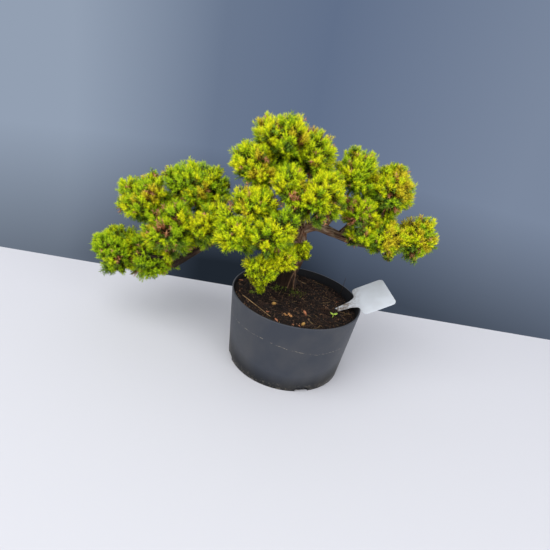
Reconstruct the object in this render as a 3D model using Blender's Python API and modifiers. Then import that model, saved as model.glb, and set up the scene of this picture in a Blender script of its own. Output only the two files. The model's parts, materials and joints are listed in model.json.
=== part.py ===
"""A juniper bonsai in a round plastic pot.

Frame: metres, +Z up, origin at the centre of the pot's flat underside. The plant is seen from -Y, with its
long drooping bough towards -X. Every place in the tables below is in centimetres in that frame.

The trunk, each bough and each mass of foliage is one solid. A bough is cut clear of the limb that carries it,
a mass hangs on a stem that meets its bough's tip, and each mass keeps to its own cell between its neighbours.
"""

import math
import random

import bmesh
import bpy
from mathutils import Matrix, Vector

CM = 0.01
GAP = 0.0003  # clearance between pieces that touch on the plant
WELD = 0.00001  # corners closer than this are one

# --- Pot -------------------------------------------------------------------------------------------------------
POT_HEIGHT = 0.077
POT_RIM_RADIUS = 0.067
POT_FOOT_RADIUS = 0.0605
POT_WALL = 0.0016
POT_FLOOR = 0.0016
POT_LEDGE_HEIGHT = 0.047  # the wall steps out here, where pots stop when they are stacked
POT_LEDGE_STEP = 0.0004
POT_STEPS = 44
NOTCH_COUNT = 4  # drainage notches through the foot of the wall
NOTCH_SIZE = (0.012, 0.014, 0.0040)  # along the radius, across it, and high
NOTCH_TURN = math.radians(-69)  # direction of the first notch

# --- Soil ------------------------------------------------------------------------------------------------------
SOIL_LEVEL = 0.070
SOIL_SLOPE = -0.06  # the surface falls towards +X
SOIL_RISE = 0.0016  # height of its lumps
SOIL_RINGS = (0.96, 0.84, 0.66, 0.46, 0.26)  # shares of the soil's radius
SOIL_STEPS = 32

# --- Label -----------------------------------------------------------------------------------------------------
LABEL_ENTRY = (4.67, -0.07, 6.96)  # where its centre line goes into the soil
LABEL_RISE = math.radians(30)
LABEL_TURN = math.radians(11)
LABEL_ROLL = math.radians(10)
LABEL_HEAD_START = 1.95  # from the entry, along the centre line
LABEL_HEAD = (3.5, 4.1)  # along the centre line and across it
LABEL_CORNER = 0.45
LABEL_NECK = 0.62  # half the width where the spike meets the head
LABEL_SPIKE = 3.0  # length of the spike below the entry
LABEL_THICKNESS = 0.0008

# --- Limbs: (carried by, centre line, radius at the start, radius at the tip) -----------------------------------
TRUNK = [(-1.25, 3.35, 7.0), (-1.15, 3.2, 8.6), (-0.75, 2.95, 10.6), (-0.8, 2.7, 12.7), (-1.35, 2.5, 14.6),
         (-2.3, 2.4, 16.6), (-3.1, 2.3, 18.2), (-3.6, 2.3, 19.6)]
TRUNK_RADII = (0.98, 0.92, 0.84, 0.76, 0.62, 0.48, 0.38, 0.30)
TRUNK_SIDES = 12
TRUNK_RINGS = 14
FLARE_HEIGHT = 1.5
FLARE_REACH = 0.50
FLARE_LOBES = 5
LIMBS = {
    "left_bough": ("trunk", [(-0.85, 2.8, 11.9), (-3.4, 2.6, 12.5), (-6.6, 2.4, 12.1), (-9.8, 2.4, 10.6),
                             (-12.0, 2.3, 8.7), (-13.7, 2.2, 7.1)], 0.60, 0.38),
    "right_bough": ("trunk", [(-1.0, 2.7, 13.6), (0.6, 2.9, 14.3), (2.6, 3.0, 13.9), (5.0, 3.1, 13.4),
                              (7.4, 3.1, 13.4), (9.1, 3.15, 14.0)], 0.56, 0.27),
    "front_bough": ("trunk", [(-0.8, 2.8, 12.3), (-1.9, 1.2, 13.2), (-3.2, -0.2, 13.3), (-4.3, -1.3, 12.9)],
                    0.36, 0.22),
    "left_tip_twig": ("left_bough", [(-12.9, 2.2, 7.9), (-14.6, 0.7, 8.4), (-16.4, 0.6, 8.2), (-18.3, 1.1, 8.0)],
                      0.25, 0.17),
    "left_outer_twig": ("left_bough", [(-11.9, 2.3, 8.8), (-12.9, 3.0, 10.4), (-14.3, 2.9, 11.7), (-15.6, 2.7, 12.5)],
                        0.27, 0.18),
    "left_inner_twig": ("left_bough", [(-7.6, 2.4, 11.8), (-8.9, 2.9, 12.7), (-10.2, 3.0, 13.9)], 0.26, 0.19),
    "left_middle_twig": ("left_bough", [(-10.4, 2.35, 10.2), (-11.2, 1.5, 10.7), (-12.0, 0.7, 11.2)], 0.24, 0.17),
    "left_front_twig": ("left_bough", [(-7.2, 2.4, 11.9), (-8.0, 1.4, 12.3), (-8.8, 0.9, 12.7)], 0.21, 0.15),
    "left_back_twig": ("left_bough", [(-11.2, 2.35, 9.4), (-12.6, 3.9, 9.6), (-14.1, 5.1, 10.4)], 0.24, 0.17),
    "front_upper_twig": ("trunk", [(-1.6, 2.45, 15.0), (-2.9, 1.3, 15.4), (-4.1, 0.3, 15.8)], 0.23, 0.16),
    "front_left_twig": ("front_bough", [(-3.2, -0.2, 13.3), (-4.2, -0.7, 13.8), (-5.1, -1.5, 13.9)], 0.18, 0.14),
    "front_right_twig": ("front_bough", [(-2.3, 0.75, 13.3), (-2.3, -0.2, 13.9), (-2.7, -1.2, 14.3)], 0.18, 0.14),
    "front_low_twig": ("front_bough", [(-2.9, 0.15, 13.25), (-2.5, -0.5, 12.8), (-2.3, -1.0, 12.5)], 0.17, 0.13),
    "front_spray_twig": ("trunk", [(-0.8, 2.7, 13.0), (-0.7, 1.6, 13.2), (-0.75, 0.8, 12.9)], 0.17, 0.13),
    "centre_right_twig": ("trunk", [(-1.9, 2.4, 15.8), (-1.0, 1.5, 16.4), (-0.4, 0.8, 17.0)], 0.24, 0.17),
    "crown_left_twig": ("trunk", [(-2.8, 2.35, 17.6), (-3.9, 2.0, 18.0), (-4.8, 1.7, 18.4)], 0.21, 0.16),
    "crown_right_twig": ("trunk", [(-2.4, 2.4, 16.8), (-1.6, 2.6, 17.7), (-1.1, 2.6, 18.5)], 0.22, 0.16),
    "crown_centre_twig": ("trunk", [(-2.7, 2.35, 17.3), (-2.8, 1.7, 17.6), (-2.9, 1.2, 18.0)], 0.20, 0.15),
    "crown_back_twig": ("trunk", [(-2.1, 2.4, 16.2), (-2.7, 3.6, 17.0), (-3.3, 4.7, 17.9)], 0.23, 0.16),
    "right_inner_twig": ("right_bough", [(1.4, 2.95, 14.2), (2.2, 3.4, 15.7), (3.0, 3.9, 17.3)], 0.24, 0.17),
    "right_middle_twig": ("right_bough", [(2.9, 3.0, 13.8), (3.4, 2.6, 14.7), (3.9, 2.3, 15.6)], 0.20, 0.15),
    "right_outer_twig": ("right_bough", [(5.4, 3.1, 13.5), (6.3, 3.3, 15.2), (7.0, 3.3, 16.9)], 0.24, 0.17),
    "right_front_twig": ("right_bough", [(4.3, 3.05, 13.6), (5.2, 2.3, 14.0), (6.0, 1.9, 14.5)], 0.19, 0.14),
    "right_low_twig": ("right_bough", [(2.2, 3.0, 14.0), (3.2, 2.2, 14.2), (4.1, 1.7, 14.4)], 0.18, 0.13),
    "right_back_twig": ("right_bough", [(3.2, 3.05, 13.8), (4.2, 4.4, 14.5), (5.3, 5.5, 15.4)], 0.24, 0.17),
}
LIMB_POINTS = 7  # rings along a twig; a main bough has more
BOUGH_POINTS = 15

# --- Foliage: (limb whose tip it hangs on, centre, half sizes) --------------------------------------------------
MASSES = {
    "left_tip": ("left_tip_twig", (-19.9, 1.4, 7.9), (2.6, 2.5, 2.6)),
    "left_low": ("left_bough", (-16.0, 2.4, 7.3), (3.0, 2.8, 2.2)),
    "left_outer": ("left_outer_twig", (-17.3, 2.5, 13.5), (2.9, 2.8, 3.1)),
    "left_inner": ("left_inner_twig", (-12.2, 3.0, 15.8), (3.4, 3.0, 2.8)),
    "left_middle": ("left_middle_twig", (-13.6, -0.3, 11.9), (3.1, 2.7, 3.0)),
    "left_front": ("left_front_twig", (-10.0, 0.2, 13.1), (2.4, 2.3, 2.4)),
    "left_back": ("left_back_twig", (-15.8, 5.9, 11.2), (3.4, 2.8, 3.0)),
    "crown_top": ("trunk", (-4.4, 2.3, 22.0), (2.9, 2.9, 2.8)),
    "crown_left": ("crown_left_twig", (-6.1, 1.4, 19.5), (2.6, 2.7, 2.8)),
    "crown_right": ("crown_right_twig", (-1.5, 2.6, 21.0), (2.6, 2.7, 2.9)),
    "crown_back": ("crown_back_twig", (-3.9, 6.0, 19.4), (3.5, 2.8, 3.1)),
    "crown_centre": ("crown_centre_twig", (-3.1, 0.2, 18.9), (2.2, 2.0, 2.5)),
    "centre_right": ("centre_right_twig", (0.1, -0.5, 18.0), (2.7, 2.5, 2.6)),
    "front_upper": ("front_upper_twig", (-5.5, -0.9, 16.3), (2.6, 2.4, 2.5)),
    "front_left": ("front_left_twig", (-6.7, -2.5, 13.9), (2.6, 2.3, 2.2)),
    "front_right": ("front_right_twig", (-3.5, -2.7, 14.5), (2.4, 2.3, 2.2)),
    "front_low": ("front_low_twig", (-2.3, -2.0, 12.2), (1.9, 1.8, 1.9)),
    "front_spray": ("front_spray_twig", (-0.8, -0.3, 12.4), (1.15, 1.1, 1.2)),
    "front_tip": ("front_bough", (-3.8, -2.9, 10.4), (1.7, 1.6, 2.1)),
    "right_inner": ("right_inner_twig", (3.5, 4.1, 19.8), (2.3, 2.6, 3.1)),
    "right_middle": ("right_middle_twig", (4.4, 1.9, 16.9), (2.1, 2.1, 2.2)),
    "right_outer": ("right_outer_twig", (7.1, 3.4, 19.2), (2.5, 2.6, 3.0)),
    "right_low": ("right_low_twig", (5.2, 1.3, 14.6), (1.8, 1.7, 1.7)),
    "right_front": ("right_front_twig", (7.3, 1.4, 15.0), (2.3, 2.2, 2.4)),
    "right_tip": ("right_bough", (10.9, 3.2, 14.9), (2.4, 2.5, 2.5)),
    "right_back": ("right_back_twig", (6.6, 6.8, 16.4), (3.1, 2.6, 2.9)),
}
FIELD_FALL = 3.5  # how fast a mass's fullness falls off outside it: where masses meet, their fullness adds up
CORE_SHARE = 0.74  # the core's size as a share of its mass
CELL_MARGIN = 0.0003  # how far a mass stays from the wall of its cell
SPRAY_AREA = 8.6  # square centimetres of a mass's surface for each spray
SPRAY_RADIUS = 0.0074
SPRAY_LIFT = 0.22  # how far a spray's tip turns up, as a share of its length
SPRAY_SHARES = (1.0, 0.92, 0.84, 0.76, 0.68)  # lengths tried where a spray would leave its cell or touch a limb
NEEDLE_COUNT = 2
NEEDLE_LENGTH = 0.0085
NEEDLE_RADIUS = 0.0013
LIMB_MARGIN = 0.0005
ATTEMPTS = 6

# --- Colours ---------------------------------------------------------------------------------------------------
POT_GREY = (0.050, 0.056, 0.068)
SOIL_BROWN = (0.035, 0.020, 0.013)
LABEL_WHITE = (0.72, 0.74, 0.75)
BARK_BROWN = (0.125, 0.065, 0.038)
JUNIPER_GREEN = (0.33, 0.48, 0.035)


def place(point):
    """A table's place in centimetres as a vector in metres."""
    return Vector(point) * CM


def material(name, colour, roughness):
    mat = bpy.data.materials.new(name)
    mat.use_nodes = True
    shader = mat.node_tree.nodes["Principled BSDF"]
    shader.inputs["Base Color"].default_value = (*colour, 1.0)
    shader.inputs["Roughness"].default_value = roughness
    shader.inputs["Metallic"].default_value = 0.0
    mat.diffuse_color = (*colour, 1.0)
    return mat


def add_object(name, data, collection, mat=None):
    obj = bpy.data.objects.new(name, data)
    collection.objects.link(obj)
    if mat is not None:
        data.materials.clear()
        data.materials.append(mat)
    return obj


def mesh_from(bm, name):
    mesh = bpy.data.meshes.new(name)
    bm.to_mesh(mesh)
    bm.free()
    return mesh


def bake(obj):
    """Applies the object's modifiers, or turns a curve into a mesh, and welds it."""
    bpy.context.view_layer.update()
    graph = bpy.context.evaluated_depsgraph_get()
    mesh = bpy.data.meshes.new_from_object(obj.evaluated_get(graph))
    bm = bmesh.new()
    bm.from_mesh(mesh)
    bmesh.ops.remove_doubles(bm, verts=bm.verts, dist=WELD)
    bmesh.ops.recalc_face_normals(bm, faces=bm.faces)
    bm.to_mesh(mesh)
    bm.free()
    if obj.type == "MESH":
        obj.modifiers.clear()
        obj.data = mesh
        return obj
    name, holder = obj.name, obj.users_collection[0]
    matrix = obj.matrix_world.copy()
    bpy.data.objects.remove(obj)
    solid = add_object(name, mesh, holder)
    solid.matrix_world = matrix
    return solid


def boolean(obj, operation, other, solver="EXACT"):
    """Cuts or joins obj with an object or with every object of a collection."""
    modifier = obj.modifiers.new(operation.title(), "BOOLEAN")
    modifier.operation = operation
    modifier.solver = solver
    if isinstance(other, bpy.types.Collection):
        modifier.operand_type = "COLLECTION"
        modifier.collection = other
    else:
        modifier.object = other
    return bake(obj)


def keep_largest_body(obj):
    """Drops loose scraps and the skins of sealed hollows, also where only a corner joins them to the rest."""
    bm = bmesh.new()
    bm.from_mesh(obj.data)
    seen, bodies = set(), []
    for start in bm.faces:
        if start in seen:
            continue
        body, todo = {start}, [start]
        while todo:
            for edge in todo.pop().edges:
                for face in edge.link_faces:
                    if face not in body:
                        body.add(face)
                        todo.append(face)
        seen |= body
        bodies.append(body)
    largest = max(bodies, key=len)
    bmesh.ops.delete(bm, geom=[f for f in bm.faces if f not in largest], context="FACES")
    bm.to_mesh(obj.data)
    bm.free()


def is_closed(obj):
    """True if every edge of the mesh lies between exactly two faces once close corners are welded."""
    bm = bmesh.new()
    bm.from_mesh(obj.data)
    bmesh.ops.remove_doubles(bm, verts=bm.verts, dist=WELD)
    closed = all(len(edge.link_faces) == 2 for edge in bm.edges)
    bm.free()
    return closed


def smooth_path(points, radii, count):
    """count places on a Catmull-Rom curve through the points, with a radius at each."""
    ends = [points[0] * 2 - points[1], *points, points[-1] * 2 - points[-2]]
    path, sizes = [], []
    for k in range(count):
        t = k / (count - 1) * (len(points) - 1)
        i = min(int(t), len(points) - 2)
        u = t - i
        a, b, c, d = ends[i:i + 4]
        path.append(0.5 * (2 * b + (c - a) * u + (2 * a - 5 * b + 4 * c - d) * u * u
                           + (3 * b - a - 3 * c + d) * u ** 3))
        sizes.append(radii[i] * (1 - u) + radii[i + 1] * u)
    return path, sizes


def limb_line(name):
    """The centre line and the radii of the trunk or of a limb, in metres."""
    if name == "trunk":
        points, radii, count = TRUNK, TRUNK_RADII, TRUNK_RINGS
    else:
        _, points, start, tip = LIMBS[name]
        radii = [start + (tip - start) * k / (len(points) - 1) for k in range(len(points))]
        count = BOUGH_POINTS if name.endswith("_bough") else LIMB_POINTS
    return smooth_path([place(p) for p in points], [r * CM for r in radii], count)


def tube(name, path, radii, collection, resolution=2):
    """A round limb as a curve with a bevel, made a mesh. A resolution of 2 gives 8 sides."""
    curve = bpy.data.curves.new(name, "CURVE")
    curve.dimensions = "3D"
    curve.bevel_depth = 1.0
    curve.bevel_resolution = resolution
    curve.use_fill_caps = True
    spline = curve.splines.new("POLY")
    spline.points.add(len(path) - 1)
    for point, where, radius in zip(spline.points, path, radii):
        point.co = (*where, 1.0)
        point.radius = radius
    return bake(add_object(name, curve, collection))


def flared_radius(radius, height, angle):
    """The trunk's radius at a height above the soil: it swells into a few root lobes at its foot."""
    fade = max(0.0, 1.0 - height / (FLARE_HEIGHT * CM)) ** 2
    lobes = 0.62 + 0.38 * math.cos(FLARE_LOBES * angle + 0.7)
    ridge = 1.0 + 0.045 * math.sin(3 * angle + 140 * height)
    return radius * ridge + FLARE_REACH * CM * fade * lobes


def trunk_mesh(name, extra=0.0):
    """The trunk: level rings lofted from a flat cut at the soil up to the tip inside the crown."""
    path, radii = limb_line("trunk")
    bm = bmesh.new()
    rings = []
    last = len(path) - 1
    for k, (centre, radius) in enumerate(zip(path, radii)):
        along = (path[min(k + 1, last)] - path[max(k - 1, 0)]).normalized()
        if k == 0:
            along = Vector((0, 0, 1))
        across = along.cross(Vector((0, 1, 0))).normalized()
        behind = along.cross(across)
        height = centre.z - path[0].z
        if k in (0, last):
            centre = centre + along * (extra if k else -extra)
        ring = []
        for s in range(TRUNK_SIDES):
            angle = math.tau * s / TRUNK_SIDES
            size = flared_radius(radius, height, angle) + extra
            ring.append(bm.verts.new(centre + size * (math.cos(angle) * across + math.sin(angle) * behind)))
        rings.append(ring)
    for lower, upper in zip(rings, rings[1:]):
        for s in range(TRUNK_SIDES):
            t = (s + 1) % TRUNK_SIDES
            bm.faces.new((lower[s], lower[t], upper[t], upper[s]))
    bm.faces.new(rings[0])
    bm.faces.new(rings[-1])
    bmesh.ops.recalc_face_normals(bm, faces=bm.faces)
    return mesh_from(bm, name)


def turned(name, profile, steps, collection, mat):
    """A turned solid: a profile in X and Z, from the axis round to the axis, on a Screw."""
    bm = bmesh.new()
    points = [bm.verts.new((x, 0, z)) for x, z in profile]
    for a, b in zip(points, points[1:]):
        bm.edges.new((a, b))
    obj = add_object(name, mesh_from(bm, name), collection, mat)
    screw = obj.modifiers.new("Turn", "SCREW")
    screw.steps = screw.render_steps = steps
    screw.use_merge_vertices = True
    screw.merge_threshold = 0.00001
    return bake(obj)


def wall_radius(height):
    """The pot's outer radius at a height, without its ledge."""
    return POT_FOOT_RADIUS + (POT_RIM_RADIUS - POT_FOOT_RADIUS) * height / POT_HEIGHT


def make_pot(parts, cutters, mat):
    inner_foot = wall_radius(POT_FLOOR) - POT_WALL - POT_LEDGE_STEP
    profile = [
        (0, POT_FLOOR),
        (inner_foot, POT_FLOOR),
        (POT_RIM_RADIUS - POT_WALL, POT_HEIGHT),
        (POT_RIM_RADIUS, POT_HEIGHT),
        (wall_radius(POT_LEDGE_HEIGHT), POT_LEDGE_HEIGHT),
        (wall_radius(POT_LEDGE_HEIGHT) - POT_LEDGE_STEP, POT_LEDGE_HEIGHT - POT_LEDGE_STEP),
        (POT_FOOT_RADIUS - POT_LEDGE_STEP, 0),
        (0, 0),
    ]
    pot = turned("pot", profile, POT_STEPS, parts, mat)
    for k in range(NOTCH_COUNT):
        bm = bmesh.new()
        bmesh.ops.create_cube(bm, size=1.0)
        notch = add_object("notch", mesh_from(bm, "notch"), cutters)
        turn = Matrix.Rotation(NOTCH_TURN + math.tau * k / NOTCH_COUNT, 4, "Z")
        shift = Matrix.Translation((POT_FOOT_RADIUS, 0, 0))
        length, width, height = NOTCH_SIZE
        notch.matrix_world = turn @ shift @ Matrix.Diagonal((length, width, 2 * height, 1))
        boolean(pot, "DIFFERENCE", notch)
        bpy.data.objects.remove(notch)
    return pot


def soil_height(x, y):
    """The soil's surface: it slopes a little and has soft lumps."""
    lumps = (math.sin(210 * x + 1.3) * math.cos(190 * y - 0.4) + 0.6 * math.sin(330 * y + 260 * x)) / 1.6
    return SOIL_LEVEL + SOIL_SLOPE * x + SOIL_RISE * lumps


def make_soil(parts, cutters, mat):
    bottom = POT_FLOOR + GAP
    foot = wall_radius(bottom) - POT_WALL - POT_LEDGE_STEP - GAP
    slope = (POT_RIM_RADIUS - POT_WALL - foot - GAP) / (POT_HEIGHT - bottom)
    edge = foot + slope * (SOIL_LEVEL - bottom) - GAP
    profile = [(0, SOIL_LEVEL)]
    profile += [(edge * share, SOIL_LEVEL) for share in reversed(SOIL_RINGS)]
    profile += [(edge, SOIL_LEVEL), (foot, bottom), (0, bottom)]
    soil = turned("soil", profile, SOIL_STEPS, parts, mat)
    for vert in soil.data.vertices:
        if vert.co.z > SOIL_LEVEL - GAP:
            away = math.hypot(vert.co.x, vert.co.y)
            vert.co.z = soil_height(vert.co.x, vert.co.y)
            if away > edge * SOIL_RINGS[0]:
                rim = foot + slope * (vert.co.z - bottom) - GAP
                vert.co.x *= rim / away
                vert.co.y *= rim / away
    slot = make_label(cutters, None, "slot", GAP)
    seat = add_object("seat", trunk_mesh("seat", 2 * GAP), cutters)
    for cutter in (slot, seat):
        boolean(soil, "DIFFERENCE", cutter)
        bpy.data.objects.remove(cutter)
    keep_largest_body(soil)
    return soil


def label_outline(extra):
    """Half of the label's outline, from the spike's point to the middle of the head's far edge."""
    length, width = LABEL_HEAD
    far = LABEL_HEAD_START + length
    half = width / 2
    points = [(-LABEL_SPIKE - 2 * extra, 0.04 + extra), (0.0, 0.30 + extra), (LABEL_HEAD_START, LABEL_NECK + extra)]
    for x, y, start in ((LABEL_HEAD_START, half, math.pi), (far, half, math.pi / 2)):
        inward = 1 if start == math.pi else -1
        for k in range(4):
            angle = start - k * math.pi / 6
            points.append((x + inward * LABEL_CORNER + (LABEL_CORNER + extra) * math.cos(angle),
                           y - LABEL_CORNER + (LABEL_CORNER + extra) * math.sin(angle)))
    return points


def make_label(collection, mat, name="plant_label", extra=0.0):
    """A flat plastic label pushed slantwise into the soil: an outline filled and given its thickness."""
    half = label_outline(extra / CM)
    outline = half + [(x, -y) for x, y in reversed(half)]
    curve = bpy.data.curves.new(name, "CURVE")
    curve.dimensions = "2D"
    curve.fill_mode = "BOTH"
    curve.extrude = LABEL_THICKNESS / 2 + extra
    spline = curve.splines.new("POLY")
    spline.points.add(len(outline) - 1)
    spline.use_cyclic_u = True
    for point, (x, y) in zip(spline.points, outline):
        point.co = (x * CM, y * CM, 0, 1)
    label = bake(add_object(name, curve, collection))
    turn = Matrix.Rotation(LABEL_TURN, 4, "Z") @ Matrix.Rotation(-LABEL_RISE, 4, "Y")
    label.matrix_world = Matrix.Translation(place(LABEL_ENTRY)) @ turn @ Matrix.Rotation(LABEL_ROLL, 4, "X")
    if mat is not None:
        label.data.materials.append(mat)
    return label


def make_limbs(parts, cutters, mat):
    """The trunk and the boughs, and for each a cutter that is a gap's width larger all round."""
    cutter_of = {"trunk": add_object("cut_trunk", trunk_mesh("cut_trunk", GAP), cutters)}
    add_object("trunk", trunk_mesh("trunk"), parts, mat)
    for name, (carrier, _, _, _) in LIMBS.items():
        path, radii = limb_line(name)
        resolution = 2 if name.endswith("_bough") else 1
        limb = tube(name, path, radii, parts, resolution)
        beyond = path[-1] + (path[-1] - path[-2]).normalized() * GAP
        cutter_of[name] = tube("cut_" + name, path + [beyond], [r + GAP for r in radii + radii[-1:]], cutters,
                               resolution)
        boolean(limb, "DIFFERENCE", cutter_of[carrier])
        keep_largest_body(limb)
        limb.data.materials.clear()
        limb.data.materials.append(mat)
    return cutter_of


def cell_walls(name):
    """The planes between a mass and its neighbours, each as a normal and its distance from the mass's centre."""
    _, centre, sizes = MASSES[name]
    centre, reach = place(centre), sum(sizes) / 3 * CM
    walls = []
    for other, (_, place_of, sizes_of) in MASSES.items():
        if other != name:
            apart = place(place_of) - centre
            reach_of = sum(sizes_of) / 3 * CM
            share = (apart.length_squared + reach ** 2 - reach_of ** 2) / (2 * apart.length_squared)
            walls.append((apart.normalized(), share * apart.length))
    return walls


def in_cell(walls, centre, point):
    return all((point - centre).dot(normal) <= distance - CELL_MARGIN for normal, distance in walls)


def clear_of_limbs(point, lines):
    """True if a point stays outside every limb by the margin."""
    for path, radii in lines:
        for a, b, radius in zip(path, path[1:], radii):
            along = b - a
            share = min(max((point - a).dot(along) / along.length_squared, 0.0), 1.0)
            if (point - a - along * share).length < radius + LIMB_MARGIN:
                return False
    return True


def surface_reach(direction, sizes):
    """Distance from the centre of an ellipsoid to its surface."""
    return CM / math.sqrt(sum((d / s) ** 2 for d, s in zip(direction, sizes)))


def cell_reach(direction, walls):
    """Distance from a mass's centre to the nearest wall of its cell."""
    slants = [(direction.dot(normal), distance - CELL_MARGIN) for normal, distance in walls]
    return min((distance / slant for slant, distance in slants if slant > 0.01), default=1.0)


def crown_field(point):
    """The fullness of the crown at a point: 1 on the surface of a mass that stands alone, more where masses meet."""
    total = 0.0
    for _, centre, sizes in MASSES.values():
        away = [(p - c * CM) / (s * CM) for p, c, s in zip(point, centre, sizes)]
        total += math.exp(FIELD_FALL * (1 - math.hypot(*away)))
    return total


def crown_reach(centre, direction, sizes, walls):
    """Distance from a mass's centre to the crown's surface, or to the wall of its cell if that is nearer."""
    full, near = surface_reach(direction, sizes), cell_reach(direction, walls)
    reach = 0.95 * full
    while reach < near and crown_field(centre + direction * reach) > 1:
        reach += 0.03 * full
    return min(reach, near)


def spread_directions(count, rng):
    """Directions spread evenly over a sphere by the golden angle, each shaken a little."""
    golden = math.pi * (3 - math.sqrt(5))
    found = []
    for k in range(count):
        z = 1 - 2 * (k + 0.5) / count
        flat = math.sqrt(1 - z * z)
        shake = Vector([rng.uniform(-0.16, 0.16) for _ in range(3)])
        found.append((Vector((flat * math.cos(golden * k), flat * math.sin(golden * k), z)) + shake).normalized())
    return found


def core_mesh(name, centre, sizes, walls, rng):
    """The dense heart of a mass: a ball of its half sizes, uneven, and held inside the cell."""
    bm = bmesh.new()
    bmesh.ops.create_icosphere(bm, subdivisions=2, radius=1.0)
    for vert in bm.verts:
        direction = vert.co.normalized()
        reach = crown_reach(centre, direction, sizes, walls) * CORE_SHARE * rng.uniform(0.94, 1.06)
        vert.co = centre + direction * reach
    return mesh_from(bm, name)


def spray_meshes(root, tip, rng):
    """A spray: a slim blunt core from root to tip, with a few needles standing out round its outer half."""
    along = tip - root
    axis = along.normalized()
    turn = axis.to_track_quat("Z", "Y").to_matrix().to_4x4()
    bm = bmesh.new()
    size = Matrix.Diagonal((SPRAY_RADIUS, SPRAY_RADIUS, along.length / 2, 1))
    roll = Matrix.Rotation(rng.uniform(0, math.tau), 4, "Z")
    middle = Matrix.Translation((root + tip) / 2)
    bmesh.ops.create_uvsphere(bm, u_segments=4, v_segments=3, radius=1.0, matrix=middle @ turn @ roll @ size)
    meshes = [mesh_from(bm, "spray")]
    for k in range(NEEDLE_COUNT):
        angle = math.tau * (k + rng.uniform(-0.2, 0.2)) / NEEDLE_COUNT
        out = turn.to_3x3() @ Vector((math.cos(angle), math.sin(angle), 0))
        foot = root + along * rng.uniform(0.62, 0.86) + out * SPRAY_RADIUS * 0.35
        lean = (out + axis * rng.uniform(0.5, 1.1)).normalized()
        stand = lean.to_track_quat("Z", "Y").to_matrix().to_4x4()
        bm = bmesh.new()
        bmesh.ops.create_cone(bm, cap_ends=True, segments=3, radius1=NEEDLE_RADIUS, radius2=0.0,
                              depth=NEEDLE_LENGTH,
                              matrix=Matrix.Translation(foot + lean * NEEDLE_LENGTH / 2) @ stand)
        bmesh.ops.recalc_face_normals(bm, faces=bm.faces)
        meshes.append(mesh_from(bm, "needle"))
    return meshes


def fitting_spray(centre, direction, sizes, walls, lines, seed):
    """The first length at which a spray keeps to its cell and clear of every limb, or nothing."""
    full = crown_reach(centre, direction, sizes, walls)
    if full < surface_reach(direction, sizes) * CORE_SHARE:
        return []
    for share in SPRAY_SHARES:
        rng = random.Random(seed)
        reach = full * rng.uniform(0.94, 1.02) * share
        root = centre + direction * reach * 0.42
        lift = Vector((0, 0, SPRAY_LIFT * reach * 0.58 * (1 - abs(direction.z))))
        meshes = spray_meshes(root, centre + direction * reach + lift, rng)
        points = [vert.co for mesh in meshes for vert in mesh.vertices]
        if all(in_cell(walls, centre, p) and clear_of_limbs(p, lines) for p in points):
            return meshes
    return []


def make_mass(name, parts, cutter_of, mat, attempt=0):
    """One mass of foliage: core, stem and sprays joined by one union. A union that fails is grown afresh."""
    limb, centre, sizes = MASSES[name]
    centre = place(centre)
    rng = random.Random(f"{name}{attempt}")
    walls = cell_walls(name)
    mass = add_object("foliage_" + name, core_mesh("foliage_" + name, centre, sizes, walls, rng), parts)
    lines = [limb_line(other) for other in cutter_of]
    joined = bpy.data.collections.new("sprays_" + name)
    bpy.context.scene.collection.children.link(joined)
    path, radii = limb_line(limb)
    onward = (path[-1] - path[-2]).normalized()
    start = path[-1] + onward * GAP * 1.2
    stem_path, stem_radii = smooth_path([start, start + onward * 0.003, centre], [radii[-1] * 0.9] * 2 + [0.001], 5)
    tube("stem", stem_path, stem_radii, joined, 0)
    area = 4 * math.pi * (sum(sizes) / 3) ** 2
    for k, direction in enumerate(spread_directions(round(area / SPRAY_AREA), rng)):
        for mesh in fitting_spray(centre, direction, sizes, walls, lines, f"{name}{attempt}{k}"):
            add_object("spray", mesh, joined)
    boolean(mass, "UNION", joined, "MANIFOLD")
    reach = 1.3 * max(sizes) * CM
    for other, (path, radii) in zip(cutter_of, lines):
        if other == limb or any((p - centre).length < reach + r for p, r in zip(path, radii)):
            boolean(mass, "DIFFERENCE", cutter_of[other], "MANIFOLD")
    keep_largest_body(mass)
    for obj in list(joined.objects):
        bpy.data.objects.remove(obj)
    bpy.data.collections.remove(joined)
    if not is_closed(mass) and attempt < ATTEMPTS:
        bpy.data.objects.remove(mass)
        return make_mass(name, parts, cutter_of, mat, attempt + 1)
    mass.data.materials.clear()
    mass.data.materials.append(mat)
    return mass


def main():
    for obj in list(bpy.data.objects):
        bpy.data.objects.remove(obj)
    parts = bpy.data.collections.new("juniper_bonsai")
    cutters = bpy.data.collections.new("cutters")
    for collection in (parts, cutters):
        bpy.context.scene.collection.children.link(collection)
    grey = material("black_pot_plastic", POT_GREY, 0.45)
    brown = material("potting_soil", SOIL_BROWN, 0.95)
    white = material("label_plastic", LABEL_WHITE, 0.4)
    bark = material("juniper_bark", BARK_BROWN, 0.9)
    green = material("juniper_needles", JUNIPER_GREEN, 0.55)
    pot = make_pot(parts, cutters, grey)
    cutter_of = make_limbs(parts, cutters, bark)
    make_soil(parts, cutters, brown)
    make_label(parts, white)
    for name in MASSES:
        make_mass(name, parts, cutter_of, green)
    for obj in list(cutters.objects):
        bpy.data.objects.remove(obj)
    pot.data.shade_smooth()
    pot.data.set_sharp_from_angle(angle=math.radians(35))
    bpy.data.objects["trunk"].data.shade_smooth()


main()
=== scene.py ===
"""A potted juniper bonsai dressed over its fixed frame: pot, soil, blank label, bark, twigs and needles.

Metres, +Z up, origin at the centre of the pot's underside. The tables give places in centimetres.
"""

import json
import math
import random

import bmesh
import bpy
from bpy.props import FloatProperty, FloatVectorProperty, IntProperty, PointerProperty
from mathutils import Matrix, Vector, noise

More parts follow.
